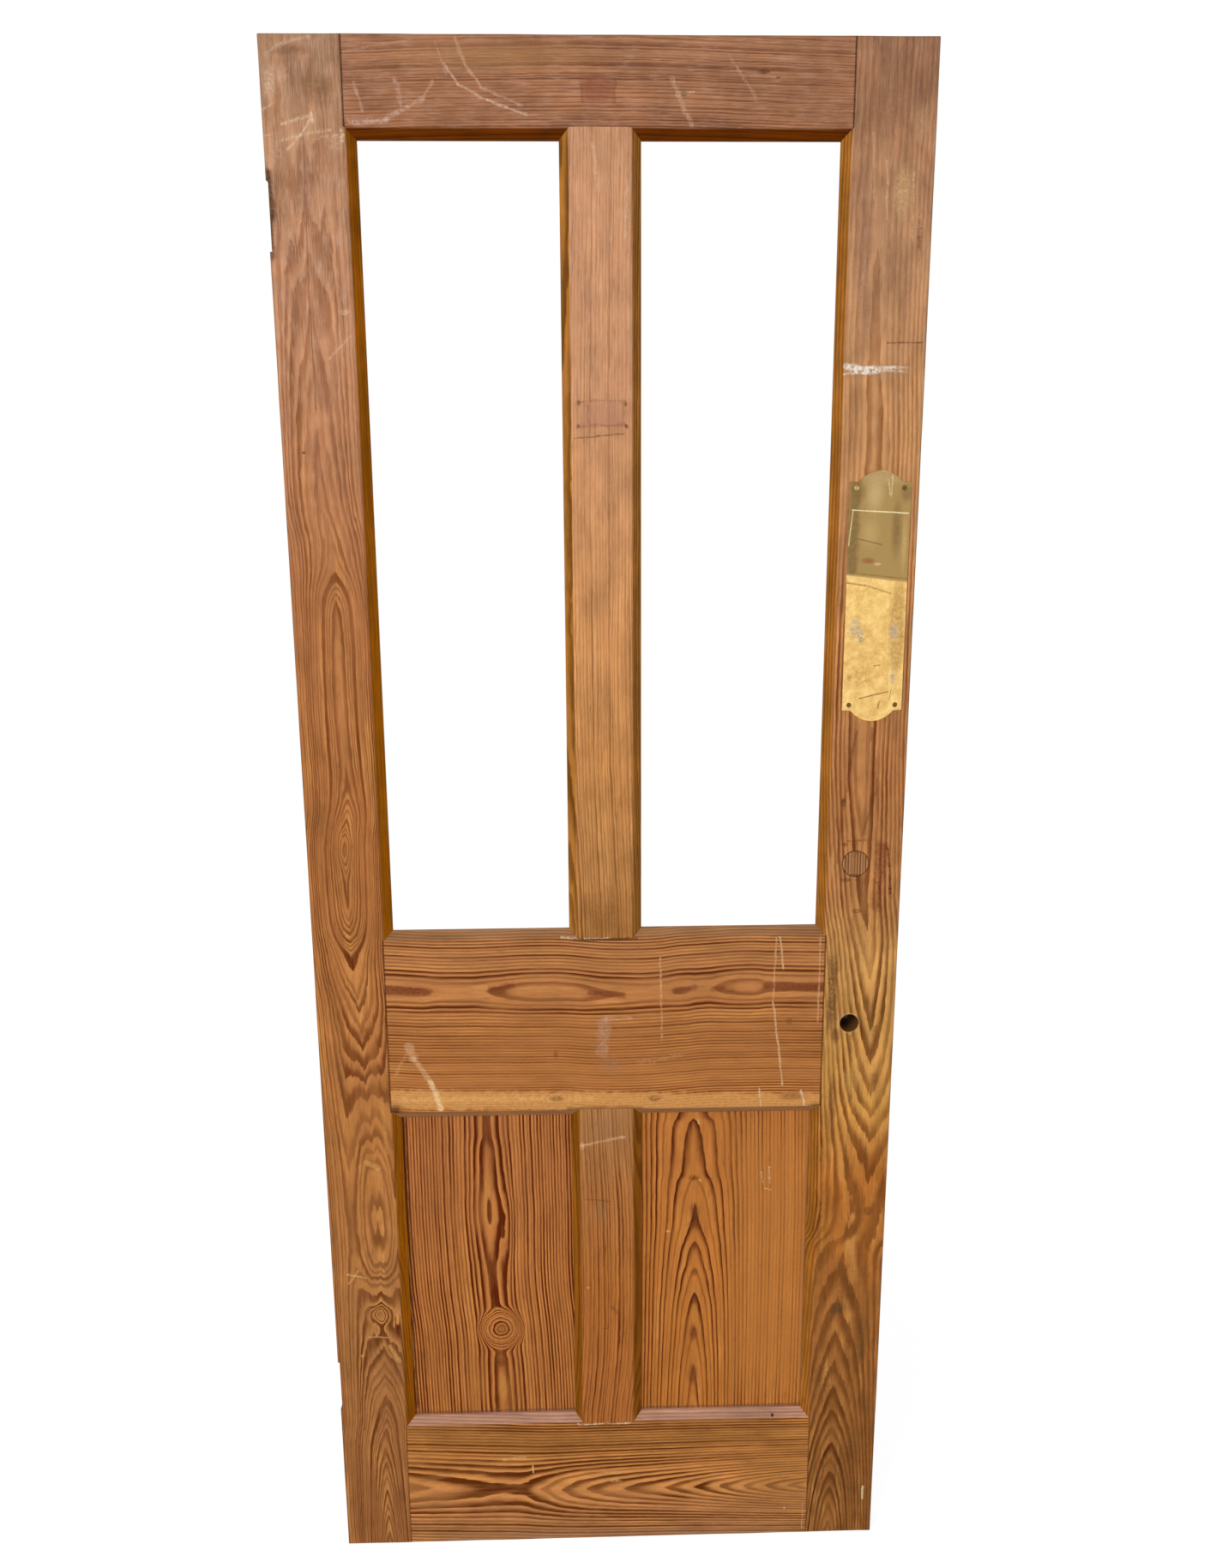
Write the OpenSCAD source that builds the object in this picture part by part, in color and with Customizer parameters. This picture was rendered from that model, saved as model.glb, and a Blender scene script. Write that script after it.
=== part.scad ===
// Framed and panelled wooden door leaf: two stiles, three rails, two muntins, two flat panels below
// and two rebated glazing openings above, with a brass finger plate and a plugged lock hole.
// Origin at the middle of the leaf's foot, +Z up, -Y towards the front face, lock edge at +X.

/* [Leaf] */
// Width of the leaf
leaf_w = 762; // [686:1:926]
// Height of the leaf
leaf_h = 1981; // [1850:1:2135]
// Thickness of the leaf
leaf_t = 40; // [38:0.5:50]

/* [Stiles, rails and muntins] */
// Face width of the hinge stile, to its arris
hinge_stile_w = 91; // [85:0.5:120]
// Face width of the lock stile, to its arris
lock_stile_w = 95; // [88:0.5:120]
// Face height of the top rail
top_rail_h = 94; // [80:0.5:125]
// Face height of the lock rail
lock_rail_h = 240; // [210:0.5:280]
// Height of the lock rail's lower arris above the foot
lock_rail_z = 681; // [600:0.5:760]
// Face height of the bottom rail
bottom_rail_h = 193; // [180:0.5:215]
// Face width of the muntins
muntin_w = 70; // [60:0.5:100]

/* [Chamfered edges] */
// Width of the chamfer round each opening
chamfer_w = 12; // [8:0.5:16]
// Depth of the chamfer below the face
chamfer_d = 10; // [6:0.5:11]

/* [Panels] */
// Thickness of the panels
panel_t = 14; // [10:0.5:15]
// Gap between a panel's faces and the cheeks of its groove
panel_play = 0.2; // [0.1:0.05:0.5]
// Room for a panel to swell at its sides and top
panel_gap = 2; // [1:0.5:4]

/* [Tenons] */
// Thickness of every tenon
tenon_t = 13; // [10:0.5:15]
// Gap between a tenon and its mortise
tenon_play = 0.1; // [0.05:0.05:0.3]
// Length of the short haunches beside the through tenons
haunch_l = 14; // [8:0.5:25]
// Height of the top rail's haunch above its tenon
top_haunch_h = 28; // [20:0.5:40]
// Height of the bottom rail's haunch below its tenons
bottom_haunch_h = 22; // [15:0.5:30]
// Height of each of the lock rail's two tenons
lock_tenon_h = 72; // [50:0.5:80]
// Height of each of the bottom rail's two tenons
bottom_tenon_h = 54; // [40:0.5:60]
// Set-back of a tenon from the arris of its rail
tenon_inset = 12; // [8:0.5:16]
// Length of the muntins' stub tenons
stub_l = 40; // [25:0.5:50]
// Set-back of the stub tenons from the muntin's arrises
stub_inset = 9; // [5:0.5:15]

/* [Wedges] */
// Length of a tenon wedge
wedge_l = 62; // [40:0.5:75]
// Thickness of a wedge at the stile's edge
wedge_head = 5; // [3:0.25:6]
// Thickness of a wedge at its tip
wedge_tip = 1.2; // [0.8:0.1:2]

/* [Hinge recesses] */
// Height of a hinge flap
hinge_h = 76; // [64:0.5:102]
// Depth of the recess in the stile's edge
hinge_recess_d = 2.4; // [1.5:0.1:4]
// Width of the recess, from the front face
hinge_recess_w = 32; // [26:0.5:34]
// Distance of the upper recess from the leaf's top
upper_hinge_drop = 150; // [120:1:220]
// Distance of the lower recess from the leaf's foot
lower_hinge_rise = 225; // [205:1:300]
// Spacing of the outer two screw holes
hinge_screw_pitch = 52; // [40:0.5:56]
// Distance of the outer screw holes from the front face
hinge_screw_inset = 12; // [8:0.5:14]
// Offset of the middle screw hole across the flap
hinge_screw_stagger = 8; // [0:0.5:8]
// Diameter of a pilot hole
hinge_pilot_d = 3.2; // [2:0.1:4]
// Depth of a pilot hole
hinge_pilot_l = 26; // [15:0.5:32]

/* [Lock holes] */
// Distance of both holes from the lock edge
lock_backset = 60; // [50:0.5:66]
// Height of the spindle hole above the middle of the lock rail
spindle_rise = -2.5; // [-6:0.5:6]
// Diameter of the spindle hole's wide mouth in the front face
spindle_d = 25; // [16:0.5:28]
// Depth of the wide mouth
spindle_mouth_l = 30; // [15:0.5:34]
// Diameter of the spindle hole behind its mouth
spindle_back_d = 11; // [9:0.5:15]
// Height of the plugged hole above the lock rail
plug_rise = 97.5; // [40:0.5:160]
// Diameter of the plug
plug_d = 33; // [25:0.5:38]
// Glue gap round the plug
plug_play = 0.05; // [0.02:0.01:0.1]

/* [Finger plate] */
// Width of the plate
plate_w = 75; // [70:0.5:80]
// Overall height of the plate
plate_h = 305; // [250:0.5:320]
// Thickness of the plate
plate_t = 1.2; // [0.8:0.1:2]
// Height of the plate's middle above the foot
plate_z = 1357; // [1300:0.5:1500]
// Rise of the arched ends above the plate's shoulders
plate_arch_h = 13.5; // [10:0.5:16]
// Radius of an arched end
plate_arch_r = 33; // [28:0.5:34]
// Radius of the hollow between shoulder and arch
plate_hollow_r = 7; // [3:0.5:8]
// Distance of the screws from the plate's long edges
plate_screw_inset = 8.5; // [6:0.25:12]
// Distance of the screws from the plate's shoulders
plate_screw_drop = 7; // [5:0.25:12]

/* [Plate screws] */
// Diameter of a countersunk head
screw_head_d = 6.4; // [5.4:0.1:8]
// Diameter of the shank
screw_shank_d = 3.5; // [3:0.1:4]
// Length of a screw
screw_l = 19; // [12:0.5:25]
// Width of the driver slot
slot_w = 0.9; // [0.6:0.1:1.2]
// Depth of the driver slot
slot_d = 0.7; // [0.4:0.1:1]
// Gap round a screw in its hole
screw_play = 0.05; // [0.02:0.01:0.1]

/* [Hidden] */
$fn = 64;

// How far a cut runs past the face that it opens
past = 1;
// How far a lip or a tenon reaches back into its own member
root = 3;

// Faces and edges of the leaf
front_y = -leaf_t / 2;
hinge_edge = -leaf_w / 2;
lock_edge = leaf_w / 2;

// Arris lines, where the flat faces of the members end
hinge_arris = hinge_edge + hinge_stile_w;
lock_arris = lock_edge - lock_stile_w;
muntin_left = (hinge_arris + lock_arris - muntin_w) / 2;
muntin_right = muntin_left + muntin_w;
top_arris = leaf_h - top_rail_h;
lock_rail_top = lock_rail_z + lock_rail_h;

// Openings between the arris lines: left, foot, right and top of each
upper_left = [hinge_arris, lock_rail_top, muntin_left, top_arris];
upper_right = [muntin_right, lock_rail_top, lock_arris, top_arris];
lower_left = [hinge_arris, bottom_rail_h, muntin_left, lock_rail_z];
lower_right = [muntin_right, bottom_rail_h, lock_arris, lock_rail_z];

// Depth of a lip, from the face to the panel groove or the glazing rebate
lip_d = (leaf_t - panel_t) / 2 - panel_play;

// Rail joints: foot and top of the haunch, then foot and top of each through tenon
top_joint = [
    [top_arris + tenon_inset, leaf_h],
    [[top_arris + tenon_inset, leaf_h - top_haunch_h]]
];
lock_joint = [
    [lock_rail_z + tenon_inset, lock_rail_top - tenon_inset],
    [
        [lock_rail_z + tenon_inset, lock_rail_z + tenon_inset + lock_tenon_h],
        [lock_rail_top - tenon_inset - lock_tenon_h, lock_rail_top - tenon_inset]
    ]
];
bottom_joint = [
    [0, bottom_rail_h - tenon_inset],
    [
        [bottom_haunch_h, bottom_haunch_h + bottom_tenon_h],
        [bottom_rail_h - tenon_inset - bottom_tenon_h, bottom_rail_h - tenon_inset]
    ]
];

// Lock holes and finger plate on the lock stile
lock_hole_x = lock_edge - lock_backset;
spindle_z = lock_rail_z + lock_rail_h / 2 + spindle_rise;
plug_z = lock_rail_top + plug_rise;
plate_x = lock_edge - lock_stile_w / 2;
plate_shoulder = plate_h / 2 - plate_arch_h;
plate_arch_z = plate_h / 2 - plate_arch_r;
plate_hollow_z = plate_shoulder + plate_hollow_r;
plate_hollow_x = sqrt(pow(plate_arch_r + plate_hollow_r, 2) - pow(plate_hollow_z - plate_arch_z, 2));
plate_screw_x = plate_w / 2 - plate_screw_inset;
plate_screw_z = plate_shoulder - plate_screw_drop;

// Colours of the timber and the metal
pine = "#B87B45";
pine_dark = "#AA6C38";
panel_pine = "#B0703A";
wedge_pine = "#9C6A3A";
old_brass = "#C8A653";
dark_brass = "#6E5228";
plug_pine = "#B5804B";

function stile_w(side) = side == "hinge" ? hinge_stile_w : lock_stile_w;

// Chamfered lip with mitred ends: its arris on the Z axis, its sight edge towards +X
module lip(length) {
    section = [
        [-root, front_y],
        [0, front_y],
        [chamfer_w, front_y + chamfer_d],
        [chamfer_w, front_y + lip_d],
        [-root, front_y + lip_d]
    ];
    mitres = [
        [-root, 0],
        [0, 0],
        [chamfer_w, chamfer_w],
        [chamfer_w, length - chamfer_w],
        [0, length],
        [-root, length]
    ];
    intersection() {
        linear_extrude(length)
            polygon(section);
        rotate([90, 0, 0])
            linear_extrude(2 * leaf_t, center = true)
                polygon(mitres);
    }
}

// The front lip on one side of an opening
module front_lip(opening, side) {
    width = opening[2] - opening[0];
    height = opening[3] - opening[1];
    if (side == "left")
        translate([opening[0], 0, opening[1]])
            lip(height);
    if (side == "right")
        translate([opening[2], 0, opening[1]])
            mirror([1, 0, 0])
                lip(height);
    if (side == "foot")
        translate([opening[0], 0, opening[1]])
            mirror([1, 0, -1])
                lip(width);
    if (side == "top")
        translate([opening[0], 0, opening[3]])
            mirror([0, 0, 1])
                mirror([1, 0, -1])
                    lip(width);
}

// Lips on both faces, with the panel groove between them
module grooved_lips(opening, side) {
    front_lip(opening, side);
    mirror([0, 1, 0])
        front_lip(opening, side);
}

// Full-thickness bar between two corners of the leaf's face
module bar(left, foot, right, top) {
    translate([left, front_y, foot])
        cube([right - left, leaf_t, top - foot]);
}

// Carries a joint from its own frame, with the shoulder at X = 0 and the stile at +X, to one end of a rail
module at_joint(side) {
    if (side == "hinge")
        translate([hinge_arris, 0, 0])
            mirror([1, 0, 0])
                children();
    else
        translate([lock_arris, 0, 0])
            children();
}

// A tongue of tenon thickness from the shoulder outwards, between two heights
module tongue(length, span, play = 0) {
    thickness = tenon_t + 2 * play;
    translate([-root, -thickness / 2, span[0] - play])
        cube([length + root, thickness, span[1] - span[0] + 2 * play]);
}

// Haunch and through tenons of a rail, for a stile of this width
module tenons(width, joint) {
    tongue(haunch_l, joint[0]);
    for (span = joint[1])
        tongue(width, span);
}

// Wedge between a tenon and its mortise, its head in the stile's edge, run on by reach for the cut
module wedge(width, thickness, reach = 0) {
    slope = (wedge_head - wedge_tip) / wedge_l;
    outline = [
        [width - wedge_l, 0],
        [width + reach, 0],
        [width + reach, wedge_head + slope * reach],
        [width - wedge_l, wedge_tip]
    ];
    rotate([90, 0, 0])
        linear_extrude(thickness, center = true)
            polygon(outline);
}

// The two wedges of each through tenon of a rail
module wedges(width, joint, thickness = tenon_t, reach = 0) {
    for (span = joint[1]) {
        translate([0, 0, span[1]])
            wedge(width, thickness, reach);
        translate([0, 0, span[0]])
            mirror([0, 0, 1])
                wedge(width, thickness, reach);
    }
}

// Mortise for a rail's haunch, tenons and wedges
module mortise(width, joint) {
    tongue(haunch_l + tenon_play, joint[0], tenon_play);
    for (span = joint[1])
        tongue(width + past, span, tenon_play);
    wedges(width, joint, tenon_t + 2 * tenon_play, past);
}

module stile_mortises(side) {
    at_joint(side)
        for (joint = [top_joint, lock_joint, bottom_joint])
            mortise(stile_w(side), joint);
}

module rail_tenons(joint) {
    for (side = ["hinge", "lock"])
        at_joint(side)
            tenons(stile_w(side), joint);
}

module rail_wedges(joint) {
    for (side = ["hinge", "lock"])
        at_joint(side)
            wedges(stile_w(side), joint);
}

// Stub tenon of a muntin, or its mortise with play, upwards from a shoulder at this height
module stub(shoulder, play = 0) {
    thickness = tenon_t + 2 * play;
    width = muntin_w - 2 * stub_inset + 2 * play;
    translate([(muntin_left + muntin_right - width) / 2, -thickness / 2, shoulder - root])
        cube([width, thickness, stub_l + root + play]);
}

// The same, downwards from a shoulder
module stub_down(shoulder, play = 0) {
    translate([0, 0, 2 * shoulder])
        mirror([0, 0, 1])
            stub(shoulder, play);
}

// Recess for one hinge flap, open to the front face, and its three pilot holes
module hinge_seat(foot) {
    middle = foot + hinge_h / 2;
    pilots = [
        [hinge_screw_inset, -hinge_screw_pitch / 2],
        [hinge_screw_inset + hinge_screw_stagger, 0],
        [hinge_screw_inset, hinge_screw_pitch / 2]
    ];
    translate([hinge_edge - past, front_y - past, foot])
        cube([hinge_recess_d + past, hinge_recess_w + past, hinge_h]);
    for (pilot = pilots)
        translate([hinge_edge, front_y + pilot[0], middle + pilot[1]])
            rotate([0, 90, 0])
                cylinder(d = hinge_pilot_d, h = hinge_recess_d + hinge_pilot_l);
}

// Round hole through the thickness of the lock stile
module lock_hole(height, diameter) {
    translate([lock_hole_x, 0, height])
        rotate([90, 0, 0])
            cylinder(d = diameter, h = leaf_t + 2 * past, center = true);
}

// Spindle hole: a narrow hole right through, opened out to a wide mouth from the front
module spindle_hole() {
    lock_hole(spindle_z, spindle_back_d);
    translate([lock_hole_x, front_y + spindle_mouth_l, spindle_z])
        rotate([90, 0, 0])
            cylinder(d = spindle_d, h = spindle_mouth_l + past);
}

// Puts its child at each plate screw, with +Z out of the plate's face
module at_plate_screws() {
    for (x = [-plate_screw_x, plate_screw_x])
        for (z = [-plate_screw_z, plate_screw_z])
            translate([plate_x + x, front_y - plate_t, plate_z + z])
                rotate([90, 0, 0])
                    children();
}

// Countersunk screw below its own head, or the hole that takes it with play
module screw_body(play = 0) {
    cone_h = (screw_head_d - screw_shank_d) / 2;
    translate([0, 0, -cone_h])
        cylinder(d1 = screw_shank_d + 2 * play, d2 = screw_head_d + 2 * play, h = cone_h);
    translate([0, 0, -screw_l - play])
        cylinder(d = screw_shank_d + 2 * play, h = screw_l - cone_h + play);
}

// Half of the plate's outline above its middle: square shoulders, hollows and an arched end
module plate_end() {
    translate([-plate_w / 2, 0])
        square([plate_w, plate_shoulder]);
    translate([0, plate_arch_z])
        circle(r = plate_arch_r);
    for (flip = [0, 1])
        mirror([flip, 0])
            difference() {
                polygon([[0, plate_arch_z], [plate_hollow_x, plate_shoulder], [plate_hollow_x, plate_hollow_z]]);
                translate([plate_hollow_x, plate_hollow_z])
                    circle(r = plate_hollow_r);
            }
}

// Flat panel, standing on the floor of its groove
module panel(opening) {
    translate([opening[0] + panel_gap, -panel_t / 2, opening[1]])
        cube([opening[2] - opening[0] - 2 * panel_gap, panel_t, opening[3] - opening[1] - panel_gap]);
}

module hinge_stile() {
    color(pine)
        difference() {
            union() {
                bar(hinge_edge, 0, hinge_arris, leaf_h);
                front_lip(upper_left, "left");
                grooved_lips(lower_left, "left");
            }
            stile_mortises("hinge");
            hinge_seat(leaf_h - upper_hinge_drop - hinge_h);
            hinge_seat(lower_hinge_rise);
        }
}

module lock_stile() {
    color(pine)
        difference() {
            union() {
                bar(lock_arris, 0, lock_edge, leaf_h);
                front_lip(upper_right, "right");
                grooved_lips(lower_right, "right");
            }
            stile_mortises("lock");
            spindle_hole();
            lock_hole(plug_z, plug_d + 2 * plug_play);
            at_plate_screws()
                screw_body(screw_play);
        }
}

module top_rail() {
    color(pine_dark)
        difference() {
            union() {
                bar(hinge_arris, top_arris, lock_arris, leaf_h);
                front_lip(upper_left, "top");
                front_lip(upper_right, "top");
                rail_tenons(top_joint);
            }
            stub(top_arris, tenon_play);
        }
}

module lock_rail() {
    color(pine_dark)
        difference() {
            union() {
                bar(hinge_arris, lock_rail_z, lock_arris, lock_rail_top);
                front_lip(upper_left, "foot");
                front_lip(upper_right, "foot");
                grooved_lips(lower_left, "top");
                grooved_lips(lower_right, "top");
                rail_tenons(lock_joint);
            }
            stub_down(lock_rail_top, tenon_play);
            stub(lock_rail_z, tenon_play);
        }
}

module bottom_rail() {
    color(pine_dark)
        difference() {
            union() {
                bar(hinge_arris, 0, lock_arris, bottom_rail_h);
                grooved_lips(lower_left, "foot");
                grooved_lips(lower_right, "foot");
                rail_tenons(bottom_joint);
            }
            stub_down(bottom_rail_h, tenon_play);
        }
}

module upper_muntin() {
    color(pine) {
        bar(muntin_left, lock_rail_top, muntin_right, top_arris);
        front_lip(upper_left, "right");
        front_lip(upper_right, "left");
        stub(top_arris);
        stub_down(lock_rail_top);
    }
}

module lower_muntin() {
    color(pine) {
        bar(muntin_left, bottom_rail_h, muntin_right, lock_rail_z);
        grooved_lips(lower_left, "right");
        grooved_lips(lower_right, "left");
        stub(lock_rail_z);
        stub_down(bottom_rail_h);
    }
}

module left_panel() {
    color(panel_pine)
        panel(lower_left);
}

module right_panel() {
    color(panel_pine)
        panel(lower_right);
}

module top_rail_wedges() {
    color(wedge_pine)
        rail_wedges(top_joint);
}

module lock_rail_wedges() {
    color(wedge_pine)
        rail_wedges(lock_joint);
}

module bottom_rail_wedges() {
    color(wedge_pine)
        rail_wedges(bottom_joint);
}

module finger_plate() {
    color(old_brass)
        difference() {
            translate([plate_x, front_y, plate_z])
                rotate([90, 0, 0])
                    linear_extrude(plate_t)
                        for (flip = [0, 1])
                            mirror([0, flip])
                                plate_end();
            at_plate_screws()
                screw_body(screw_play);
        }
}

module plate_screws() {
    color(dark_brass)
        at_plate_screws()
            difference() {
                screw_body();
                translate([-screw_head_d, -slot_w / 2, -slot_d])
                    cube([2 * screw_head_d, slot_w, slot_d + past]);
            }
}

module cylinder_plug() {
    color(plug_pine)
        translate([lock_hole_x, 0, plug_z])
            rotate([90, 0, 0])
                cylinder(d = plug_d, h = leaf_t, center = true);
}

hinge_stile();
lock_stile();
top_rail();
lock_rail();
bottom_rail();
upper_muntin();
lower_muntin();
left_panel();
right_panel();
top_rail_wedges();
lock_rail_wedges();
bottom_rail_wedges();
finger_plate();
plate_screws();
cylinder_plug();
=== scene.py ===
# An old pitch pine door leaf with empty lights above and two panels below: the looks.
import math
import bmesh
import bpy
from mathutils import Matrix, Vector, noise


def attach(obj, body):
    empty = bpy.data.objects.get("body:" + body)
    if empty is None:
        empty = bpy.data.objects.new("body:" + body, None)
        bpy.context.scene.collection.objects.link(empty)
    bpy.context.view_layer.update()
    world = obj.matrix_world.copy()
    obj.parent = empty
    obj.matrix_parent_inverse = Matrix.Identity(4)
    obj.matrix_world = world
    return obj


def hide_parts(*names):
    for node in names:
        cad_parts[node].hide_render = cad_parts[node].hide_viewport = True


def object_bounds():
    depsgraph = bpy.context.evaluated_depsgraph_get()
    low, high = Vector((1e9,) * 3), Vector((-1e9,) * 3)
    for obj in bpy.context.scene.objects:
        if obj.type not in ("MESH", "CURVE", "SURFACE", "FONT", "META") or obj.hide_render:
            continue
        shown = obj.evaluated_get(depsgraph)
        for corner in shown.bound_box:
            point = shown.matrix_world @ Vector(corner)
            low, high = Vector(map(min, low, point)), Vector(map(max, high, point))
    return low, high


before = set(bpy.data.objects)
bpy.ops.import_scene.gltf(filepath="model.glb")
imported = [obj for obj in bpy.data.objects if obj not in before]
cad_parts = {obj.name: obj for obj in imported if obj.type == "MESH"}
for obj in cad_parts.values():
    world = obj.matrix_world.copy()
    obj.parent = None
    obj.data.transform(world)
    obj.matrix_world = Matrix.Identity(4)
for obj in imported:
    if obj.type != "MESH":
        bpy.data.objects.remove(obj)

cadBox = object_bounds()
scene = bpy.context.scene
scene.view_settings.view_transform = "Standard"

leaf = {"width": 762.0, "height": 1981.0, "thickness": 40.0}  # mm, as the frame has it
strayMm = 7.0  # how far waves push a knot, or a mark whose sway is 1
tipMm = 18.0  # how far from the pith line the tips of arches are sharpened
# mm where each begins and where it is full: the front face, what is sunk below either face,
# what lies inside the leaf's outline, and the outline's rim
fades = {"front": (2.5, 0.8), "sunk": (0.5, 2.2), "inside": (2.0, 5.0), "rim": (2.2, 0.3)}


def linear(hexText):
    # sRGB hex to the linear colour that nodes take
    parts = [int(hexText[i:i + 2], 16) / 255 for i in (1, 3, 5)]
    return tuple(c / 12.92 if c <= 0.04045 else ((c + 0.055) / 1.055) ** 2.4 for c in parts) + (1.0,)


modes = {"Math": "operation", "VectorMath": "operation", "MapRange": "interpolation_type",
         "Mix": "data_type"}


def wire(tree, node, wires):
    # links into a node's sockets or sets plain values; a node stands for its first live output
    for socket, value in wires.items() if isinstance(wires, dict) else enumerate(wires):
        if isinstance(value, bpy.types.Node):
            value = next(output for output in value.outputs if output.enabled)
        if isinstance(value, bpy.types.NodeSocket):
            tree.links.new(value, node.inputs[socket])
        else:
            node.inputs[socket].default_value = value


def put(tree, kind, wires=(), **settings):
    # one node, its settings, and what goes into its sockets; "Math ADD" is a kind with its mode
    kind, _, mode = kind.partition(" ")
    node = tree.nodes.new(kind if "Node" in kind else "ShaderNode" + kind)
    if mode:
        settings[modes[kind]] = mode
    for name, value in settings.items():
        setattr(node, name, value)
    wire(tree, node, wires)
    return node


def newGroup(name, inputs, outputs):
    # an empty shader group: inputs are name to default, a tuple makes a vector
    tree = bpy.data.node_groups.new(name, "ShaderNodeTree")
    for label, value in inputs.items():
        kind = "NodeSocketVector" if isinstance(value, tuple) else "NodeSocketFloat"
        tree.interface.new_socket(label, in_out="INPUT", socket_type=kind).default_value = value
    for label in outputs:
        kind = "NodeSocketVector" if label == "Place" else "NodeSocketFloat"
        tree.interface.new_socket(label, in_out="OUTPUT", socket_type=kind)
    return tree, tree.nodes.new("NodeGroupInput").outputs, tree.nodes.new("NodeGroupOutput")


def leafPlaceGroup():
    # where a point is on the leaf in mm: over from the hinge edge, down from the top, depth behind the face
    tree, _, out = newGroup("leafPlace", {}, ["Over", "Down", "Depth", "Place", "Front", "Sunk", "Rim"])
    coord = put(tree, "TexCoord")
    axes = put(tree, "SeparateXYZ", [coord.outputs["Object"]])
    over = put(tree, "Math MULTIPLY_ADD", [axes.outputs["X"], 1000.0, leaf["width"] / 2])
    down = put(tree, "Math MULTIPLY_ADD", [axes.outputs["Z"], -1000.0, leaf["height"]])
    depth = put(tree, "Math MULTIPLY_ADD", [axes.outputs["Y"], 1000.0, leaf["thickness"] / 2])
    place = put(tree, "CombineXYZ", [over, down])
    front = put(tree, "MapRange SMOOTHSTEP", [depth, *fades["front"], 0.0, 1.0])
    # sunk: chamfers and fillets round the openings, on either face
    toBack = put(tree, "Math SUBTRACT", [leaf["thickness"], depth])
    nearFace = put(tree, "Math MINIMUM", [depth, toBack])
    below = put(tree, "MapRange SMOOTHSTEP", [nearFace, *fades["sunk"], 0.0, 1.0])
    fromRight = put(tree, "Math SUBTRACT", [leaf["width"], over])
    fromFoot = put(tree, "Math SUBTRACT", [leaf["height"], down])
    sides = put(tree, "Math MINIMUM", [over, fromRight])
    ends = put(tree, "Math MINIMUM", [down, fromFoot])
    nearest = put(tree, "Math MINIMUM", [sides, ends])
    inside = put(tree, "MapRange", [nearest, *fades["inside"], 0.0, 1.0])
    sunk = put(tree, "Math MULTIPLY", [below, inside])
    rim = put(tree, "MapRange", [nearest, *fades["rim"], 0.0, 1.0])
    wire(tree, out, {"Over": over, "Down": down, "Depth": depth, "Place": place, "Front": front, "Sunk": sunk,
                     "Rim": rim})
    return tree


def boardRadiusGroup():
    # how far a point is from the pith: arches form where the pith nears or leaves the face,
    # within the spread of its line
    tree, given, out = newGroup(
        "boardRadius",
        {"Across": 0.0, "Depth": 0.0, "Pith Across": 0.0, "Pith Depth": 30.0, "Mean Depth": 30.0,
         "Spread": 30.0, "Crease": 0.2},
        ["Radius"])
    off = put(tree, "Math SUBTRACT", [given["Across"], given["Pith Across"]])
    offSquare = put(tree, "Math MULTIPLY_ADD", [off, off, 0.6])
    offSize = put(tree, "Math SQRT", [offSquare])
    reach = put(tree, "Math DIVIDE", [off, given["Spread"]])
    reachSquare = put(tree, "Math MULTIPLY", [reach, reach])
    reachMinus = put(tree, "Math MULTIPLY", [reachSquare, -1.0])
    bell = put(tree, "Math EXPONENT", [reachMinus])
    swing = put(tree, "Math SUBTRACT", [given["Pith Depth"], given["Mean Depth"]])
    pith = put(tree, "Math MULTIPLY_ADD", [swing, bell, given["Mean Depth"]])
    deep = put(tree, "Math ADD", [given["Depth"], pith])
    square = put(tree, "Math MULTIPLY_ADD", [deep, deep, offSquare])
    radius = put(tree, "Math SQRT", [square])
    # the crease sharpens the tips of the arches
    fade = put(tree, "Math MULTIPLY", [offSize, -1 / tipMm])
    decay = put(tree, "Math EXPONENT", [fade])
    rise = put(tree, "Math MULTIPLY_ADD", [decay, -tipMm, tipMm])
    tipped = put(tree, "Math MULTIPLY_ADD", [rise, given["Crease"], radius])
    wire(tree, out, {"Radius": tipped})
    return tree


def knotGroup():
    # a branch: the board's rings swell by Lift, or give way to the branch's own rings where Own is 1
    tree, given, out = newGroup(
        "knot",
        {"Place": (0.0, 0.0, 0.0), "Sway": (0.0, 0.0, 0.0), "Radius": 0.0, "Centre": (0.0, 0.0, 0.0),
         "Half": (1.0, 1.0, 1.0), "Lift": 5.0, "Own": 0.0, "Start": 20.0, "Rings": 12.0},
        ["Radius", "Heart"])
    swayMm = put(tree, "VectorMath MULTIPLY", [given["Sway"], (strayMm, strayMm, 0.0)])
    moved = put(tree, "VectorMath ADD", [given["Place"], swayMm])
    away = put(tree, "VectorMath SUBTRACT", [moved, given["Centre"]])
    scaled = put(tree, "VectorMath DIVIDE", [away, given["Half"]])
    far = put(tree, "VectorMath LENGTH", [scaled])
    square = put(tree, "Math MULTIPLY", [far.outputs["Value"], far.outputs["Value"]])
    minus = put(tree, "Math MULTIPLY", [square, -1.0])
    bell = put(tree, "Math EXPONENT", [minus])
    swelled = put(tree, "Math MULTIPLY_ADD", [bell, given["Lift"], given["Radius"]])
    branch = put(tree, "Math MULTIPLY_ADD", [far.outputs["Value"], given["Rings"], given["Start"]])
    inside = put(tree, "MapRange SMOOTHSTEP", [far.outputs["Value"], 1.75, 0.85, 0.0, 1.0])
    share = put(tree, "Math MULTIPLY", [inside, given["Own"]])
    radius = put(tree, "Mix FLOAT", {0: share, 2: swelled, 3: branch})
    heart = put(tree, "MapRange SMOOTHSTEP", [far.outputs["Value"], 0.55, 0.12, 0.0, 1.0])
    wire(tree, out, {"Radius": radius, "Heart": heart})
    return tree


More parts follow.
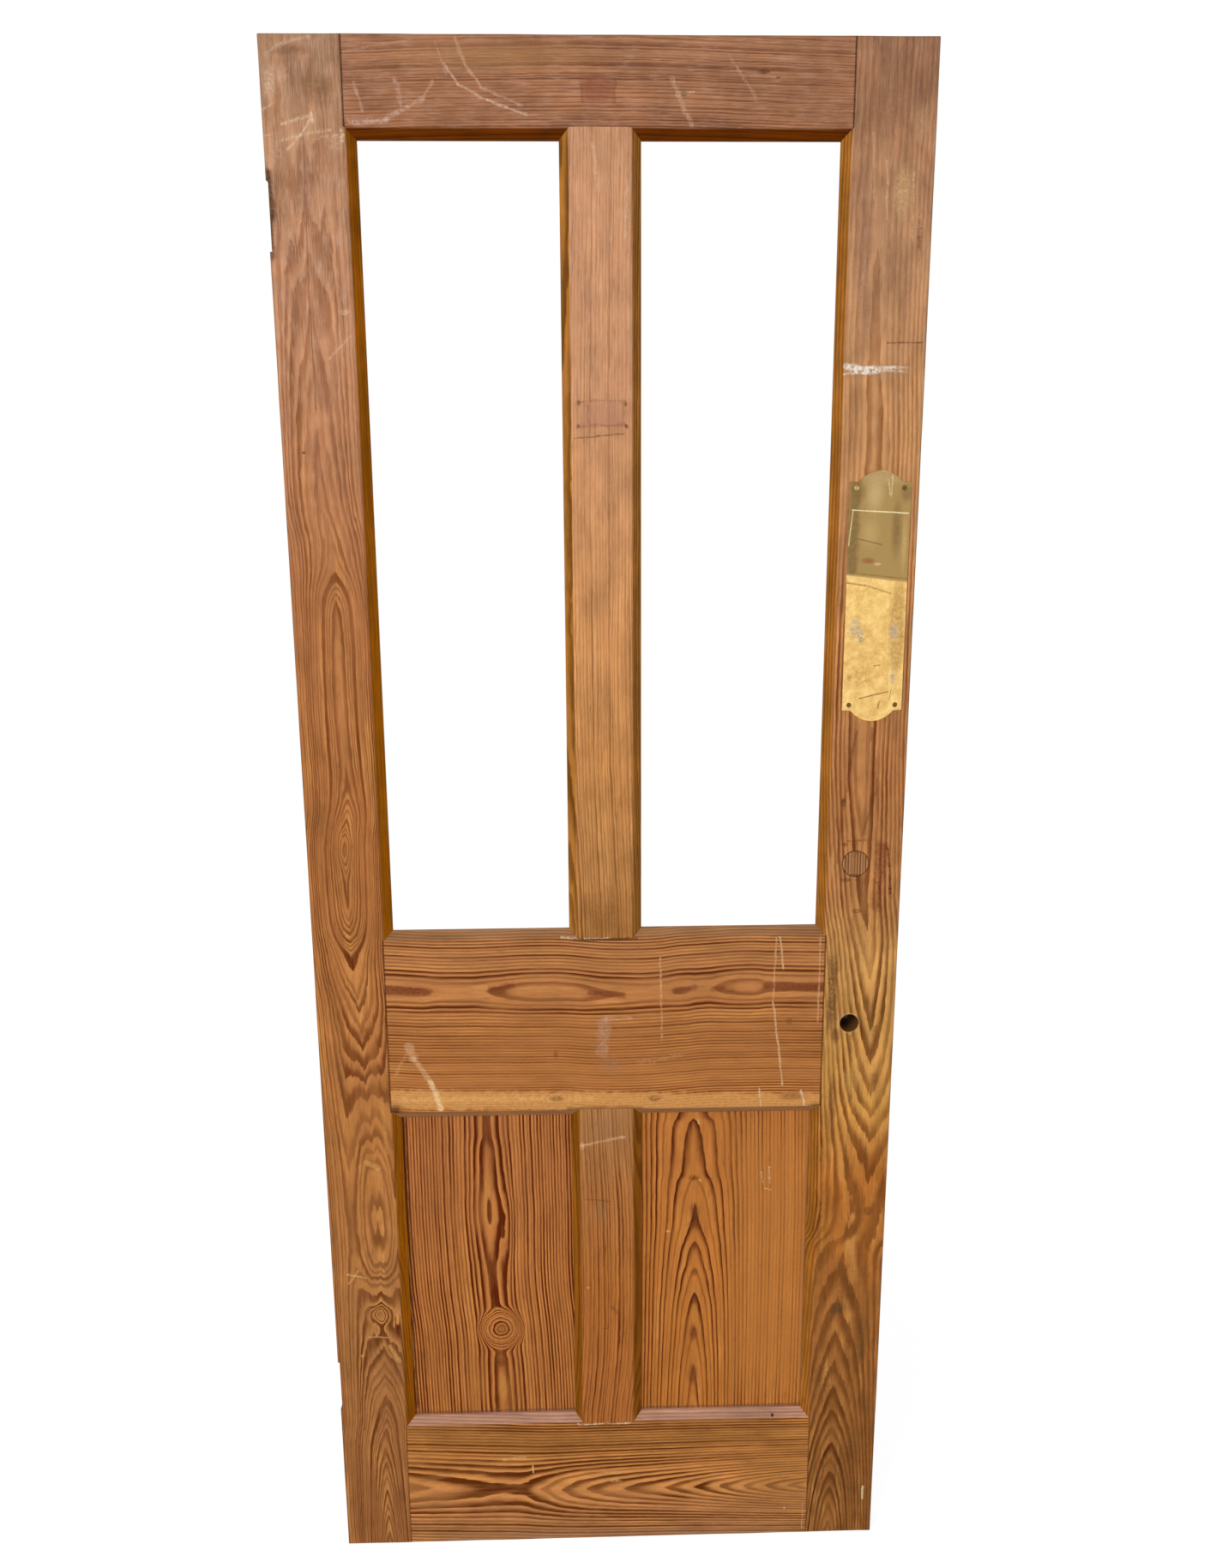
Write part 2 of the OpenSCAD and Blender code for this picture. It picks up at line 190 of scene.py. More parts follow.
def growthRingGroup():
    # rings by radius: pale early wood that darkens to a sharp late edge, with good years and bad
    tree, given, out = newGroup(
        "growthRings",
        {"Across": 0.0, "Along": 0.0, "Depth": 0.0, "Radius": 0.0, "Ring Width": 3.0, "Drift": 1.0,
         "Jag": 2.0, "Uneven": 1.0, "Late From": 0.05, "Seed": 0.0},
        ["Late", "Fibre", "Mottle", "Fleck"])
    slow = put(tree, "Math MULTIPLY", [given["Along"], 0.12])
    bent = put(tree, "CombineXYZ", [given["Across"], slow, given["Depth"]])
    shifted = put(tree, "VectorMath ADD", [bent, given["Seed"]])
    wide = put(tree, "TexNoise", {"Vector": shifted, "Scale": 0.03, "Detail": 1.0})
    small = put(tree, "TexNoise", {"Vector": shifted, "Scale": 0.24, "Detail": 2.0, "Roughness": 0.6})
    wideOff = put(tree, "Math SUBTRACT", [wide, 0.5])
    smallOff = put(tree, "Math SUBTRACT", [small, 0.5])
    wideMm = put(tree, "Math MULTIPLY", [wideOff, 4.0])
    drift = put(tree, "Math MULTIPLY_ADD", [smallOff, 1.7, wideMm])
    swum = put(tree, "Math MULTIPLY_ADD", [drift, given["Drift"], given["Radius"]])
    # flanks of the arches are jagged, about 9 mm across and 35 mm along
    steps = put(tree, "VectorMath MULTIPLY", [shifted, (1.0, 2.2, 1.0)])
    jag = put(tree, "TexNoise", {"Vector": steps, "Scale": 0.11, "Detail": 2.0, "Roughness": 0.6})
    jagOff = put(tree, "Math SUBTRACT", [jag, 0.5])
    total = put(tree, "Math MULTIPLY_ADD", [jagOff, given["Jag"], swum])
    count = put(tree, "Math DIVIDE", [total, given["Ring Width"]])
    yearAt = put(tree, "Math MULTIPLY_ADD", [count, 0.27, given["Seed"]])
    years = put(tree, "TexNoise", {"W": yearAt, "Scale": 1.0, "Detail": 1.0}, noise_dimensions="1D")
    weather = put(tree, "Math MULTIPLY", [years, 2.2])
    ringAt = put(tree, "Math MULTIPLY_ADD", [weather, given["Uneven"], count])
    part = put(tree, "Math FRACT", [ringAt])
    whole = put(tree, "Math FLOOR", [ringAt])
    year = put(tree, "Math ADD", [whole, given["Seed"]])
    chance = put(tree, "TexWhiteNoise", {"W": year}, noise_dimensions="1D")
    start = put(tree, "Math MULTIPLY_ADD", [chance.outputs["Value"], 0.35, given["Late From"]])
    full = put(tree, "Math ADD", [given["Late From"], 0.65])
    darken = put(tree, "MapRange SMOOTHSTEP", [part, start, full, 0.0, 1.0])
    edge = put(tree, "MapRange SMOOTHSTEP", [part, 0.9, 1.0, 1.0, 0.0])
    line = put(tree, "Math MULTIPLY", [darken, edge])
    force = put(tree, "Math MULTIPLY_ADD", [chance.outputs["Value"], -0.6, 1.0])
    late = put(tree, "Math MULTIPLY", [line, force])
    # fibres about 1 mm wide and 50 mm long, clouds of tone, and short dark resin flecks
    thin = put(tree, "VectorMath MULTIPLY", [shifted, (1.0, 0.17, 1.0)])
    fibre = put(tree, "TexNoise", {"Vector": thin, "Scale": 0.8, "Detail": 2.0, "Roughness": 0.6})
    mottle = put(tree, "TexNoise", {"Vector": shifted, "Scale": 0.055, "Detail": 3.0, "Roughness": 0.62})
    dashes = put(tree, "VectorMath MULTIPLY", [shifted, (1.0, 0.6, 1.0)])
    dash = put(tree, "TexNoise", {"Vector": dashes, "Scale": 0.6, "Detail": 1.0})
    fleck = put(tree, "MapRange", [dash, 0.64, 0.76, 0.0, 1.0])
    wire(tree, out, {"Late": late, "Fibre": fibre, "Mottle": mottle, "Fleck": fleck})
    return tree


def strokeGroup():
    # a scratch, crack or smear between two points; Grit breaks it up where Ragged is high
    tree, given, out = newGroup(
        "stroke",
        {"Place": (0.0, 0.0, 0.0), "Sway": (0.0, 0.0, 0.0), "Grit": 1.0, "From": (0.0, 0.0, 0.0),
         "To": (1.0, 0.0, 0.0), "Half Width": 1.0, "Soft": 0.5, "Swell": 0.5, "Ragged": 0.5},
        ["Mask"])
    moved = put(tree, "VectorMath ADD", [given["Place"], given["Sway"]])
    reach = put(tree, "VectorMath SUBTRACT", [given["To"], given["From"]])
    away = put(tree, "VectorMath SUBTRACT", [moved, given["From"]])
    over = put(tree, "VectorMath DOT_PRODUCT", [away, reach])
    size = put(tree, "VectorMath DOT_PRODUCT", [reach, reach])
    share = put(tree, "Math DIVIDE", [over.outputs["Value"], size.outputs["Value"]], use_clamp=True)
    foot = put(tree, "VectorMath SCALE", {0: reach, "Scale": share})
    gap = put(tree, "VectorMath SUBTRACT", [away, foot])
    length = put(tree, "VectorMath LENGTH", [gap])
    hand = put(tree, "MapRange", [given["Swell"], 0.35, 0.65, 0.5, 1.4])
    even = put(tree, "Mix FLOAT", {0: given["Ragged"], 2: 1.0, 3: hand})
    half = put(tree, "Math MULTIPLY", [given["Half Width"], even])
    ratio = put(tree, "Math DIVIDE", [length.outputs["Value"], half])
    outer = put(tree, "Math MULTIPLY_ADD", [given["Soft"], 0.6, 1.0])
    inner = put(tree, "Math MULTIPLY_ADD", [given["Soft"], -1.3, 1.0])
    body = put(tree, "MapRange SMOOTHSTEP", [ratio, outer, inner, 0.0, 1.0])
    kept = put(tree, "Mix FLOAT", {0: given["Ragged"], 2: 1.0, 3: given["Grit"]})
    mask = put(tree, "Math MULTIPLY", [body, kept])
    wire(tree, out, {"Mask": mask})
    return tree


def patchGroup():
    # a stain or ghost: an oval or a block with a soft, uneven border
    tree, given, out = newGroup(
        "patch",
        {"Place": (0.0, 0.0, 0.0), "Sway": (0.0, 0.0, 0.0), "Grit": 1.0, "Centre": (0.0, 0.0, 0.0),
         "Half": (1.0, 1.0, 1.0), "Soft": 0.5, "Ragged": 0.5},
        ["Oval", "Block"])
    moved = put(tree, "VectorMath ADD", [given["Place"], given["Sway"]])
    away = put(tree, "VectorMath SUBTRACT", [moved, given["Centre"]])
    scaled = put(tree, "VectorMath DIVIDE", [away, given["Half"]])
    oval = put(tree, "VectorMath LENGTH", [scaled])
    size = put(tree, "VectorMath ABSOLUTE", [scaled])
    axes = put(tree, "SeparateXYZ", [size])
    block = put(tree, "Math MAXIMUM", [axes, axes.outputs[1]])
    inner = put(tree, "Math SUBTRACT", [1.0, given["Soft"]])
    kept = put(tree, "Mix FLOAT", {0: given["Ragged"], 2: 1.0, 3: given["Grit"]})
    for label, source in (("Oval", oval), ("Block", block)):
        body = put(tree, "MapRange SMOOTHSTEP", [source, 1.0, inner, 0.0, 1.0])
        mask = put(tree, "Math MULTIPLY", [body, kept])
        wire(tree, out, {label: mask})
    return tree


leafPlace = leafPlaceGroup()
boardRadius = boardRadiusGroup()
knot = knotGroup()
growthRings = growthRingGroup()
stroke = strokeGroup()
patch = patchGroup()
print("groups: place, radius, knot, rings, stroke, patch")


def oneMark(group, mask, shape, hexText, amount=0.6, ragged=0.4, soft=0.5, sway=0.6, through=False):
    # strength, breaks, soft border, straying, and whether it shows below the front face too
    return {"group": group, "mask": mask, "shape": dict(shape, Ragged=ragged, Soft=soft), "hex": hexText,
            "amount": amount, "sway": sway, "through": through}


def scratch(x0, y0, x1, y1, half, *look, **more):
    # between two places in mm over and down the leaf, with half its width
    return oneMark(stroke, "Mask", {"From": (x0, y0, 0), "To": (x1, y1, 0), "Half Width": half}, *look,
                   **more)


def blot(x, y, halfX, halfY, *look, **more):
    return oneMark(patch, "Oval", {"Centre": (x, y, 0), "Half": (halfX, halfY, 1)}, *look, **more)


def ghost(x, y, halfX, halfY, *look, **more):
    return oneMark(patch, "Block", {"Centre": (x, y, 0), "Half": (halfX, halfY, 1)}, *look, **more)


def layMarks(tree, colour, marks, place, front, sway):
    # lays scratches and stains over a colour, one after another
    gritNoise = put(tree, "TexNoise", {"Vector": place, "Scale": 0.22, "Detail": 5.0, "Roughness": 0.75})
    grit = put(tree, "MapRange", [gritNoise, 0.42, 0.6, 0.0, 1.0])
    swell = put(tree, "TexNoise", {"Vector": place, "Scale": 0.09, "Detail": 2.0})
    for mark in marks:
        swayed = put(tree, "VectorMath SCALE", {0: sway, "Scale": strayMm * mark["sway"]})
        node = put(tree, "Group", dict(mark["shape"], Place=place, Sway=swayed, Grit=grit),
                   node_tree=mark["group"])
        if mark["group"] == stroke:
            wire(tree, node, {"Swell": swell})
        amount = put(tree, "Math MULTIPLY", [node.outputs[mark["mask"]], mark["amount"]])
        if front is not None and not mark["through"]:
            amount = put(tree, "Math MULTIPLY", [amount, front])
        colour = put(tree, "Mix RGBA", {0: amount, 6: colour, 7: linear(mark["hex"])})
    return colour


def newMaterial(name):
    material = bpy.data.materials.new(name)
    material.use_nodes = True
    return material, material.node_tree, material.node_tree.nodes["Principled BSDF"]


def swayOn(tree, place):
    # waves about 20 mm long, which keep knots and the borders of marks from running true
    waves = put(tree, "TexNoise", {"Vector": place, "Scale": 0.05, "Detail": 2.0})
    centred = put(tree, "VectorMath SUBTRACT", [waves.outputs["Color"], (0.5, 0.5, 0.5)])
    return waves, put(tree, "VectorMath MULTIPLY", [centred, (1.0, 1.0, 0.0)])


# what a board has where its own dictionary doesn't say
usualBoard = {
    "spread": 400.0, "crease": 0.2, "drift": 1.0, "jag": 2.0, "uneven": 1.0, "lateFrom": 0.05,
    "knots": [], "glow": 0.35, "glowHex": "#CF9450", "flecks": 0.35, "knotHex": "#6A3A18",
    "rimHex": "#6E5440", "rim": 0.45, "grime": 0.1, "chamfer": None, "dust": None, "sunkFace": False,
    "marks": [],
}


def pine(name, board):
    # Old pitch pine, planed by hand, stripped and waxed: strong red-brown late wood in orange early wood,
    # a dull sheen on the faces, older and glossier varnish left in the chamfers, darkened with painted shade
    # on the top rail
    board = {**usualBoard, **board}
    upright = board["grain"] == "down"
    material, tree, shader = newMaterial(name)
    place = put(tree, "Group", node_tree=leafPlace).outputs
    alongGrain, acrossGrain = (place["Down"], place["Over"]) if upright else (place["Over"], place["Down"])
    swayNoise, flatSway = swayOn(tree, place["Place"])

    # curves along the board, each from a few points in mm
    drawn = {}
    for key in ("pithAcross", "pithDepth", "contrast"):
        points = board[key]
        first, last = points[0][0], points[-1][0]
        low = min(v for _, v in points)
        span = max(max(v for _, v in points) - low, 1e-4)
        share = put(tree, "MapRange", [alongGrain, first, last, 0.0, 1.0])
        curve = put(tree, "FloatCurve", {"Value": share})
        line = curve.mapping.curves[0]
        while len(line.points) < len(points):
            line.points.new(0.5, 0.5)
        for point, (at, value) in zip(line.points, points):
            point.location = ((at - first) / (last - first), (value - low) / span)
            point.handle_type = "AUTO_CLAMPED"
        curve.mapping.update()
        drawn[key] = put(tree, "Math MULTIPLY_ADD", [curve, span, low])

    depths = [v for _, v in board["pithDepth"]]
    radius = put(tree, "Group", {
        "Across": acrossGrain, "Depth": place["Depth"], "Pith Across": drawn["pithAcross"],
        "Pith Depth": drawn["pithDepth"],
        "Mean Depth": board.get("meanDepth", (min(depths) + max(depths)) / 2),
        "Spread": board["spread"], "Crease": board["crease"]}, node_tree=boardRadius)
    heart = None
    for branch in board["knots"]:
        x, y, halfX, halfY = branch["at"]
        radius = put(tree, "Group", {
            "Place": place["Place"], "Sway": flatSway, "Radius": radius, "Centre": (x, y, 0),
            "Half": (halfX, halfY, 1), "Lift": branch["lift"], "Own": branch.get("own", 0.0),
            "Start": branch.get("start", 0.0), "Rings": branch.get("rings", 12.0)}, node_tree=knot)
        if "heart" in branch:
            heart = put(tree, "Math MULTIPLY", [radius.outputs["Heart"], branch["heart"]])
    grain = put(tree, "Group", {
        "Across": acrossGrain, "Along": alongGrain, "Depth": place["Depth"], "Radius": radius,
        "Ring Width": board["ringWidth"], "Drift": board["drift"], "Jag": board["jag"],
        "Uneven": board["uneven"], "Late From": board["lateFrom"], "Seed": board["seed"]},
        node_tree=growthRings).outputs

    # early and late wood change tone down the leaf
    height = put(tree, "Math DIVIDE", [place["Down"], leaf["height"]])
    tones = []
    for stops in (board["early"], board["late"]):
        ramp = put(tree, "ValToRGB", [height])
        elements = ramp.color_ramp.elements
        while len(elements) < len(stops):
            elements.new(0.5)
        for element, (at, _) in zip(elements, stops):
            element.position = at / leaf["height"]
        for element, (_, hexText) in zip(elements, stops):
            element.color = linear(hexText)
        tones.append(ramp)

    cloud = put(tree, "MapRange", [grain["Mottle"], 0.3, 0.7, 0.45, 1.15])
    contrast = put(tree, "Math MULTIPLY", [drawn["contrast"], cloud])
    lateAmount = put(tree, "Math MULTIPLY", [grain["Late"], contrast], use_clamp=True)
    # here and there the early wood glows yellow, less so near the top
    warmth = put(tree, "MapRange", [place["Down"], 250.0, 750.0, 0.2, 1.0])
    yellow = put(tree, "MapRange", [grain["Mottle"], 0.52, 0.72, 0.0, board["glow"]])
    glow = put(tree, "Math MULTIPLY", [yellow, warmth])
    lit = put(tree, "Mix RGBA", {0: glow, 6: tones[0], 7: linear(board["glowHex"])})
    wood = put(tree, "Mix RGBA", {0: lateAmount, 6: lit, 7: tones[1]})
    fleckAmount = put(tree, "Math MULTIPLY", [grain["Fleck"], board["flecks"]])
    flecked = put(tree, "Mix RGBA", {0: fleckAmount, 6: wood, 7: tones[1]})
    fibreTone = put(tree, "MapRange", [grain["Fibre"], 0.25, 0.75, 0.84, 1.16])
    cloudTone = put(tree, "MapRange", [grain["Mottle"], 0.25, 0.75, 0.88, 1.12])
    grainTone = put(tree, "Math MULTIPLY", [fibreTone, cloudTone])
    # handling and damp leave clouds of grime, drawn out along the grain, most of it near the top
    drawnOut = (1.1, 0.4, 1.0) if upright else (0.4, 1.1, 1.0)
    grimeAt = put(tree, "VectorMath MULTIPLY_ADD",
                  [place["Place"], drawnOut, (board["seed"] * 90, 0.0, 0.0)])
    grimeNoise = put(tree, "TexNoise",
                     {"Vector": grimeAt, "Scale": 0.035, "Detail": 5.0, "Roughness": 0.65})
    grimeTop = board.get("grimeTop", board["grime"])
    grimeSize = put(tree, "MapRange", [place["Down"], 150.0, 500.0, grimeTop, board["grime"]])
    grimeSign = put(tree, "MapRange", [grimeNoise, 0.33, 0.67, -1.0, 0.8])
    grimeTone = put(tree, "Math MULTIPLY_ADD", [grimeSign, grimeSize, 1.0])
    tone = put(tree, "Math MULTIPLY", [grainTone, grimeTone])
    colour = put(tree, "HueSaturation", {"Value": tone, "Color": flecked})
    if heart is not None:
        colour = put(tree, "Mix RGBA", {0: heart, 6: colour, 7: linear(board["knotHex"])})

    # chamfers and fillets take an old varnish colour; on the top rail's downward chamfer this colour is also
    # painted shade
    if board["chamfer"]:
        pale, dark = board["chamfer"]
        streak = put(tree, "Math MULTIPLY", [grain["Late"], 0.85])
        varnishAndShade = put(tree, "Mix RGBA", {0: streak, 6: linear(pale), 7: linear(dark)})
        varnishAndShadeTone = put(tree, "HueSaturation", {"Value": tone, "Color": varnishAndShade})
        colour = put(tree, "Mix RGBA", {0: place["Sunk"], 6: colour, 7: varnishAndShadeTone})

    # dust rubbed along the grain towards the top of the leaf, in streaks about 1.5 mm by 30 mm
    dust = board["dust"]
    if dust:
        streaks = (0.6, 0.035, 1.0) if upright else (0.035, 0.6, 1.0)
        rubbed = put(tree, "VectorMath MULTIPLY", [place["Place"], streaks])
        scuff = put(tree, "TexNoise", {"Vector": rubbed, "Scale": 1.0, "Detail": 3.0, "Roughness": 0.65})
        scuffs = put(tree, "MapRange", [scuff, 0.46, 0.72, 0.0, dust["amount"]])
        fade = put(tree, "MapRange", [place["Down"], dust["until"], dust["until"] * 0.3, 0.0, 1.0])
        patchy = put(tree, "MapRange", [swayNoise, 0.38, 0.6, 0.2, 1.0])
        bare = put(tree, "Math SUBTRACT", [1.0, place["Sunk"]])
        lying = scuffs
        for part in (fade, patchy, bare):
            lying = put(tree, "Math MULTIPLY", [lying, part])
        colour = put(tree, "Mix RGBA", {0: lying, 6: colour, 7: linear(dust["hex"])})

    front = None if board["sunkFace"] else place["Front"]
    colour = layMarks(tree, colour, board["marks"], place["Place"], front, flatSway)

    # greyer towards the leaf's outer rims and over its edges
    rimAmount = put(tree, "Math MULTIPLY", [place["Rim"], board["rim"]])
    colour = put(tree, "Mix RGBA", {0: rimAmount, 6: colour, 7: linear(board["rimHex"])})
    dull = put(tree, "MapRange", [grain["Fibre"], 0.25, 0.75, 0.66, 0.5])
    gloss = put(tree, "Math MULTIPLY_ADD", [place["Sunk"], -0.14, dull])
    # late wood stands a little proud after years of scrubbing
    relief = put(tree, "Math MULTIPLY_ADD", [grain["Fibre"], 0.6, grain["Late"]])
    bump = put(tree, "Bump", {"Strength": 0.35, "Distance": 0.00025, "Height": relief})
    wire(tree, shader, {"Base Color": colour, "Roughness": gloss, "Normal": bump})
    shader.inputs["Specular IOR Level"].default_value = 0.035  # dry wax, little shine
    return material


merging = {"near": 3e-6, "flat": math.radians(0.6)}  # m and angle: what counts as one point, and as one face


def mergedCopy(node):
    # a frame piece's loose triangles joined into plain faces, with a layer for the wear of each edge
    work = bmesh.new()
    work.from_mesh(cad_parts[node].data)
    bmesh.ops.remove_doubles(work, verts=work.verts, dist=merging["near"])
    bmesh.ops.dissolve_limit(work, angle_limit=merging["flat"], verts=work.verts, edges=work.edges)
    return work, work.edges.layers.float.new("bevel_weight_edge")


def addToScene(name, data):
    piece = bpy.data.objects.new(name, data)
    scene.collection.objects.link(piece)
    return piece


def settle(piece, modifier):
    # what the modifier makes becomes the piece's own plain mesh
    finished = bpy.data.meshes.new_from_object(piece.evaluated_get(bpy.context.evaluated_depsgraph_get()))
    piece.modifiers.remove(modifier)
    piece.data = finished
    finished.name = piece.name
    print(piece.name, len(finished.polygons), "faces")


def rounded(name, work, roundMm, segments, clamped):
    # a piece from the worked mesh, with its weighted edges rounded
    mesh = bpy.data.meshes.new(name)
    work.to_mesh(mesh)
    work.free()
    piece = addToScene(name, mesh)
    bevel = piece.modifiers.new("wear", "BEVEL")
    bevel.limit_method = "WEIGHT"
    bevel.width = roundMm / 1000
    bevel.segments = segments
    bevel.use_clamp_overlap = clamped
    settle(piece, bevel)
    return piece


def wornBoard(node, wear):
    # a copy of a frame piece with its arrises worn round, more in one place and less in another
    work, layer = mergedCopy(node)
    halfW, halfT, top = leaf["width"] / 2000, leaf["thickness"] / 2000, leaf["height"] / 1000
    hair = 1e-5  # m

    def extremes(v):
        atEnd = v.co.z < hair or v.co.z > top - hair
        return abs(abs(v.co.x) - halfW) < hair, abs(abs(v.co.y) - halfT) < hair, atEnd

    chosen = []
    for edge in work.edges:
        if len(edge.link_faces) != 2 or edge.calc_face_angle(0) < math.radians(wear["sharp"]):
            continue
        a, b = (extremes(v) for v in edge.verts)
        outer = sum(1 for p, q in zip(a, b) if p and q) >= 2
        if not outer and not (a[1] and b[1]):
            continue
        middle = (edge.verts[0].co + edge.verts[1].co) / 2
        if any((middle.xz - Vector(spot)).length < wear["spare"] for spot in screwSpots):
            continue
        square = all(abs(f.normal.y) > 0.99 or abs(f.normal.y) < 0.01 for f in edge.link_faces)
        edge[layer] = wear["outer"] if outer else wear["joint"] if square else wear["chamfer"]
        step = wear["step"]
        low, high = wear["torn"]
        if low[0] < middle.x < high[0] and low[1] < middle.z < high[1] and middle.y < 0:
            edge[layer] = wear["tornRound"]
            step = wear["tornStep"]
        chosen.append((edge, step))
    # long edges are cut up, so that their wear can vary
    for edge, step in chosen:
        start = edge.verts[0]
        for left in range(int(edge.calc_length() * 1000 / step) + 1, 1, -1):
            start = bmesh.utils.edge_split(edge, start, 1 / left)[1]
    slow, quick = wear["waves"]
    for edge in work.edges:
        if edge[layer] > 0:
            middle = (edge.verts[0].co + edge.verts[1].co) / 2
            sway = noise.noise(middle * slow + Vector((wear["seed"], 0, 0)))
            sway += 0.5 * noise.noise(middle * quick + Vector((wear["seed"], 3, 0)))
            edge[layer] *= max(wear["least"], min(wear["most"], 1 + 0.9 * sway))
    return rounded(node + "_worn", work, wear["round"], 2, False)


def finishPiece(piece, material, slotName, *nodes):
    piece.data.materials.clear()
    piece.data.materials.append(material)
    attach(piece, "root")
    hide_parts(*nodes)


# dark lines where a rail's shoulder meets the stiles: from and to in mm down the leaf, half widths, and looks
joints = {}
for name, top, foot, halves, look in (
        ("top", 0, 94, (1.3, 1.3), ("#3A2214", 0.9, 0.25)),
        ("lock", 1060, 1300, (1.2, 1.4), ("#4A2B14", 0.85, 0.3)),
        ("bottom", 1788, 1981, (1.0, 1.0), ("#4A2B14", 0.6, 0.4))):
    for side, over, half in zip(("Hinge", "Lock"), (91, 667), halves):
        joints[name + side] = scratch(over, top, over, foot, half, *look, sway=0.2)

